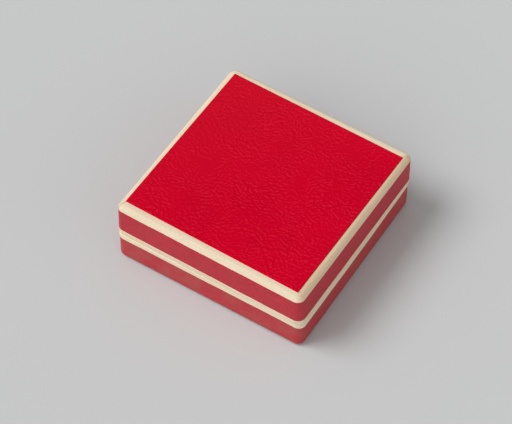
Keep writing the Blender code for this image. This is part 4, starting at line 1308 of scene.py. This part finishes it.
def swell(piece, voxel, cap, loose, pressure, growth=0.0):
    """Swell a padded piece by cloth simulation, by no more than cap, as far as loose lets each place go."""
    frames = 20
    apply_modifier(piece, "REMESH", mode="VOXEL", voxel_size=voxel, use_smooth_shade=True)
    rest = [vert.co.copy() for vert in piece.data.vertices]
    held = piece.vertex_groups.new(name="held")
    for vert in piece.data.vertices:
        held.add([vert.index], 1.0 - loose(vert.co), "REPLACE")
    pick_object(piece)
    cloth = piece.modifiers.new("Cloth", "CLOTH")
    cloth.settings.use_pressure = True
    cloth.settings.uniform_pressure_force = pressure
    cloth.settings.effector_weights.gravity = 0.0
    cloth.settings.vertex_group_mass = held.name
    cloth.settings.pin_stiffness = 4.0
    cloth.settings.shrink_min = -growth
    cloth.settings.quality = 6
    cloth.collision_settings.use_collision = False
    for step in range(1, frames + 1):
        bpy.context.scene.frame_set(step)
    bpy.ops.object.modifier_apply(modifier=cloth.name)
    bpy.context.scene.frame_set(1)
    for vert, start in zip(piece.data.vertices, rest):
        moved = vert.co - start
        if moved.length > cap:
            moved *= cap / moved.length
        vert.co = start + moved
    piece.vertex_groups.clear()
    apply_modifier(piece, "SUBSURF", levels=1, render_levels=1)


class MEDALCASE_OT_velvet_pad(Operator):
    """Model the velvet pad with its medal recess and the disc in it"""

    bl_idname = "medal_case.velvet_pad"
    bl_label = "Velvet Pad"

    def execute(self, context):
        sizes = context.scene.medal_linings
        velvet = velvet_material("velvet", sizes.velvet_colour)
        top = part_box("velvet_pad")[1].z

        def loose(place):
            """Free at the top of the pad, held where it stands in the base."""
            return ramp(place.z, top - 2.0 * MM, top - 0.2 * MM)

        pad = copy_node("velvet_pad", "velvet_pad_cover")
        swell(pad, sizes.velvet_voxel, sizes.velvet_cap, loose, pressure=3.0)
        dress(pad, velvet, "base", ["velvet_pad"], angle=180.0)
        disc = copy_node("recess_floor_disc", "recess_velvet_disc")
        ease_edges(disc, 0.2 * MM, steps=3)
        dress(disc, velvet, "base", ["recess_floor_disc"])
        return {"FINISHED"}


class MEDALCASE_OT_satin(Operator):
    """Model the satin cushion, its card and the satin strips round the lid's walls"""

    bl_idname = "medal_case.satin"
    bl_label = "Satin Linings"

    def execute(self, context):
        sizes = context.scene.medal_linings
        satin = satin_material("satin", sizes.satin_colour)
        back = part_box("lid_satin_cushion")[1].z

        def loose(place):
            """Free in front, held where the satin goes round the card."""
            return ramp(back - place.z, 0.1 * MM, 0.9 * MM)

        cushion = copy_node("lid_satin_cushion", "lid_satin_pad")
        swell(cushion, sizes.satin_voxel, sizes.satin_cap, loose, pressure=4.0, growth=0.03)
        dress(cushion, satin, "lid", ["lid_satin_cushion"], angle=180.0)
        for side in SIDES:
            node = "lid_" + side + "_lining"
            strip = copy_node(node, node + "_satin")
            ease_edges(strip, 0.14 * MM, steps=3)
            dress(strip, satin, "lid", [node])
        paint_node("lid_pad_card", plain_paper_material("pad_card", sizes.card_colour, 0.03 * MM))
        return {"FINISHED"}


class MEDALCASE_OT_hinge(Operator):
    """Finish the rolled hinge, its pin and its nails"""

    bl_idname = "medal_case.hinge"
    bl_label = "Hinge"

    def execute(self, context):
        sizes = context.scene.medal_metal
        brass = metal_material("brass", sizes.brass_colour, 0.26, 0.48)
        nodes = [("hinge_base_leaf", "base"), ("hinge_lid_leaf", "lid"), ("hinge_pin", "base")]
        for body in ("base", "lid"):
            nodes += [("hinge_" + body + "_nail_" + spot, body) for spot in ("left", "middle", "right")]
        for node, body in nodes:
            finish_metal(node, brass, body, sizes.edge_radius)
        return {"FINISHED"}


def finish_metal(node, finish, body, radius):
    """Copy a metal node, ease its sharp edges and polish it."""
    piece = copy_node(node, node + "_finished")
    ease_edges(piece, radius)
    dress(piece, finish, body, [node], angle=40.0)


class MEDALCASE_OT_catch(Operator):
    """Finish the spring, the striker plate and what fastens them"""

    bl_idname = "medal_case.catch"
    bl_label = "Catch"

    def execute(self, context):
        sizes = context.scene.medal_metal
        brass = bpy.data.materials["brass"]
        bronze = metal_material("spring_bronze", sizes.bronze_colour, 0.24, 0.45)
        finish_metal("catch_spring", bronze, "base", sizes.edge_radius)
        for node, body in (("catch_rivet_lower", "base"), ("catch_rivet_upper", "base"),
                           ("catch_striker_plate", "lid"), ("striker_tack_left", "lid"),
                           ("striker_tack_right", "lid")):
            finish_metal(node, brass, body, sizes.edge_radius)
        return {"FINISHED"}


# Stage, panel and registration

def add_sun(name, direction, strength, spread):
    """A lamp far away in a direction, as wide as its spread."""
    lamp = bpy.data.lights.new(name, "SUN")
    lamp.energy = strength
    lamp.angle = spread
    holder = bpy.data.objects.new(name, lamp)
    holder.rotation_mode = "QUATERNION"
    holder.rotation_quaternion = Vector(direction).to_track_quat("Z", "Y")
    bpy.context.scene.collection.objects.link(holder)


class MEDALCASE_OT_stage(Operator):
    """Set the floor, the lamps, the even light all round and the camera"""

    bl_idname = "medal_case.stage"
    bl_label = "Stage"

    def execute(self, context):
        settings = context.scene.medal_stage
        self.floor(settings)
        self.light(settings)
        self.camera(settings)
        context.scene.view_settings.view_transform = "Standard"
        return {"FINISHED"}

    @staticmethod
    def floor(settings):
        """A wide plain floor at the height of the case's lowest point."""
        deselect()
        bpy.ops.mesh.primitive_plane_add(size=FLOOR_SIZE, location=(0.0, 0.0, CAD_LOW.z))
        floor = name_new("studio_floor")
        made, tree, shader, place = new_material("floor_paper", Specular_IOR_Level=0.0, Roughness=0.9)
        unevenness = noise_value(tree, place, 6.0)
        colour = blend_colour(tree, unevenness, shade(settings.floor_colour, 0.99),
                              shade(settings.floor_colour, 1.01))
        connect(tree, shader.inputs["Base Color"], colour)
        floor.data.materials.append(made)

    @staticmethod
    def light(settings):
        """Even light all round and three soft lamps."""
        world = bpy.data.worlds.new("studio")
        bpy.context.scene.world = world
        world.use_nodes = True
        sky = world.node_tree.nodes["Background"].inputs
        sky["Color"].default_value = (1.0, 1.0, 1.0, 1.0)
        sky["Strength"].default_value = settings.ambient
        add_sun("key", KEY_FROM, settings.key, settings.key_spread)
        add_sun("fill", FILL_FROM, settings.fill, settings.fill_spread)
        add_sun("side_fill", SIDE_FILL_FROM, settings.side_fill, settings.fill_spread)

    @staticmethod
    def camera(settings):
        """The photograph's camera, placed in widths of the case from the middle of its top."""
        width = CAD_HIGH.x - CAD_LOW.x
        back = Vector((sin(settings.azimuth) * cos(settings.elevation),
                       -cos(settings.azimuth) * cos(settings.elevation), sin(settings.elevation)))
        right = Vector((cos(settings.azimuth), sin(settings.azimuth), 0.0))
        up = back.cross(right)
        target = Vector((0.0, CASE_Y, CAD_HIGH.z))
        lens = bpy.data.cameras.new("photo_view")
        lens.sensor_width = SENSOR_WIDTH
        lens.lens = settings.focal_pixels / PHOTO_WIDTH * SENSOR_WIDTH
        lens.clip_start = width
        lens.clip_end = 100 * width
        camera = bpy.data.objects.new("photo_view", lens)
        camera.location = target + width * (settings.distance_share * back + settings.right_share * right
                                            + settings.up_share * up)
        camera.rotation_mode = "QUATERNION"
        camera.rotation_quaternion = Matrix((right, up, back)).transposed().to_quaternion()
        bpy.context.scene.collection.objects.link(camera)
        bpy.context.scene.camera = camera


class MEDALCASE_PT_finish(Panel):
    """Buttons for each group of pieces"""

    bl_idname = "MEDALCASE_PT_finish"
    bl_label = "Medal Case"
    bl_space_type = "VIEW_3D"
    bl_region_type = "UI"
    bl_category = "Medal Case"

    def draw(self, context):
        for step in STEPS:
            self.layout.operator(step.bl_idname)


STEPS = (MEDALCASE_OT_stage, MEDALCASE_OT_top_panel, MEDALCASE_OT_side_leather, MEDALCASE_OT_edging,
         MEDALCASE_OT_boards, MEDALCASE_OT_collar, MEDALCASE_OT_velvet_pad, MEDALCASE_OT_satin,
         MEDALCASE_OT_hinge, MEDALCASE_OT_catch)
SETTINGS = {"medal_covering": MedalCaseCovering, "medal_linings": MedalCaseLinings,
            "medal_metal": MedalCaseMetal, "medal_stage": MedalCaseStage}
CLASSES = (*SETTINGS.values(), *STEPS, MEDALCASE_PT_finish)


def register():
    """Register the classes and give the scene their settings."""
    for item in CLASSES:
        bpy.utils.register_class(item)
    for name, kind in SETTINGS.items():
        setattr(bpy.types.Scene, name, PointerProperty(type=kind))


def unregister():
    """Take the settings and the classes away again."""
    for name in SETTINGS:
        delattr(bpy.types.Scene, name)
    for item in reversed(CLASSES):
        bpy.utils.unregister_class(item)


def main():
    """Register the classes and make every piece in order."""
    register()
    for step in STEPS:
        family, action = step.bl_idname.split(".")
        getattr(getattr(bpy.ops, family), action)()


if __name__ == "__main__":
    main()
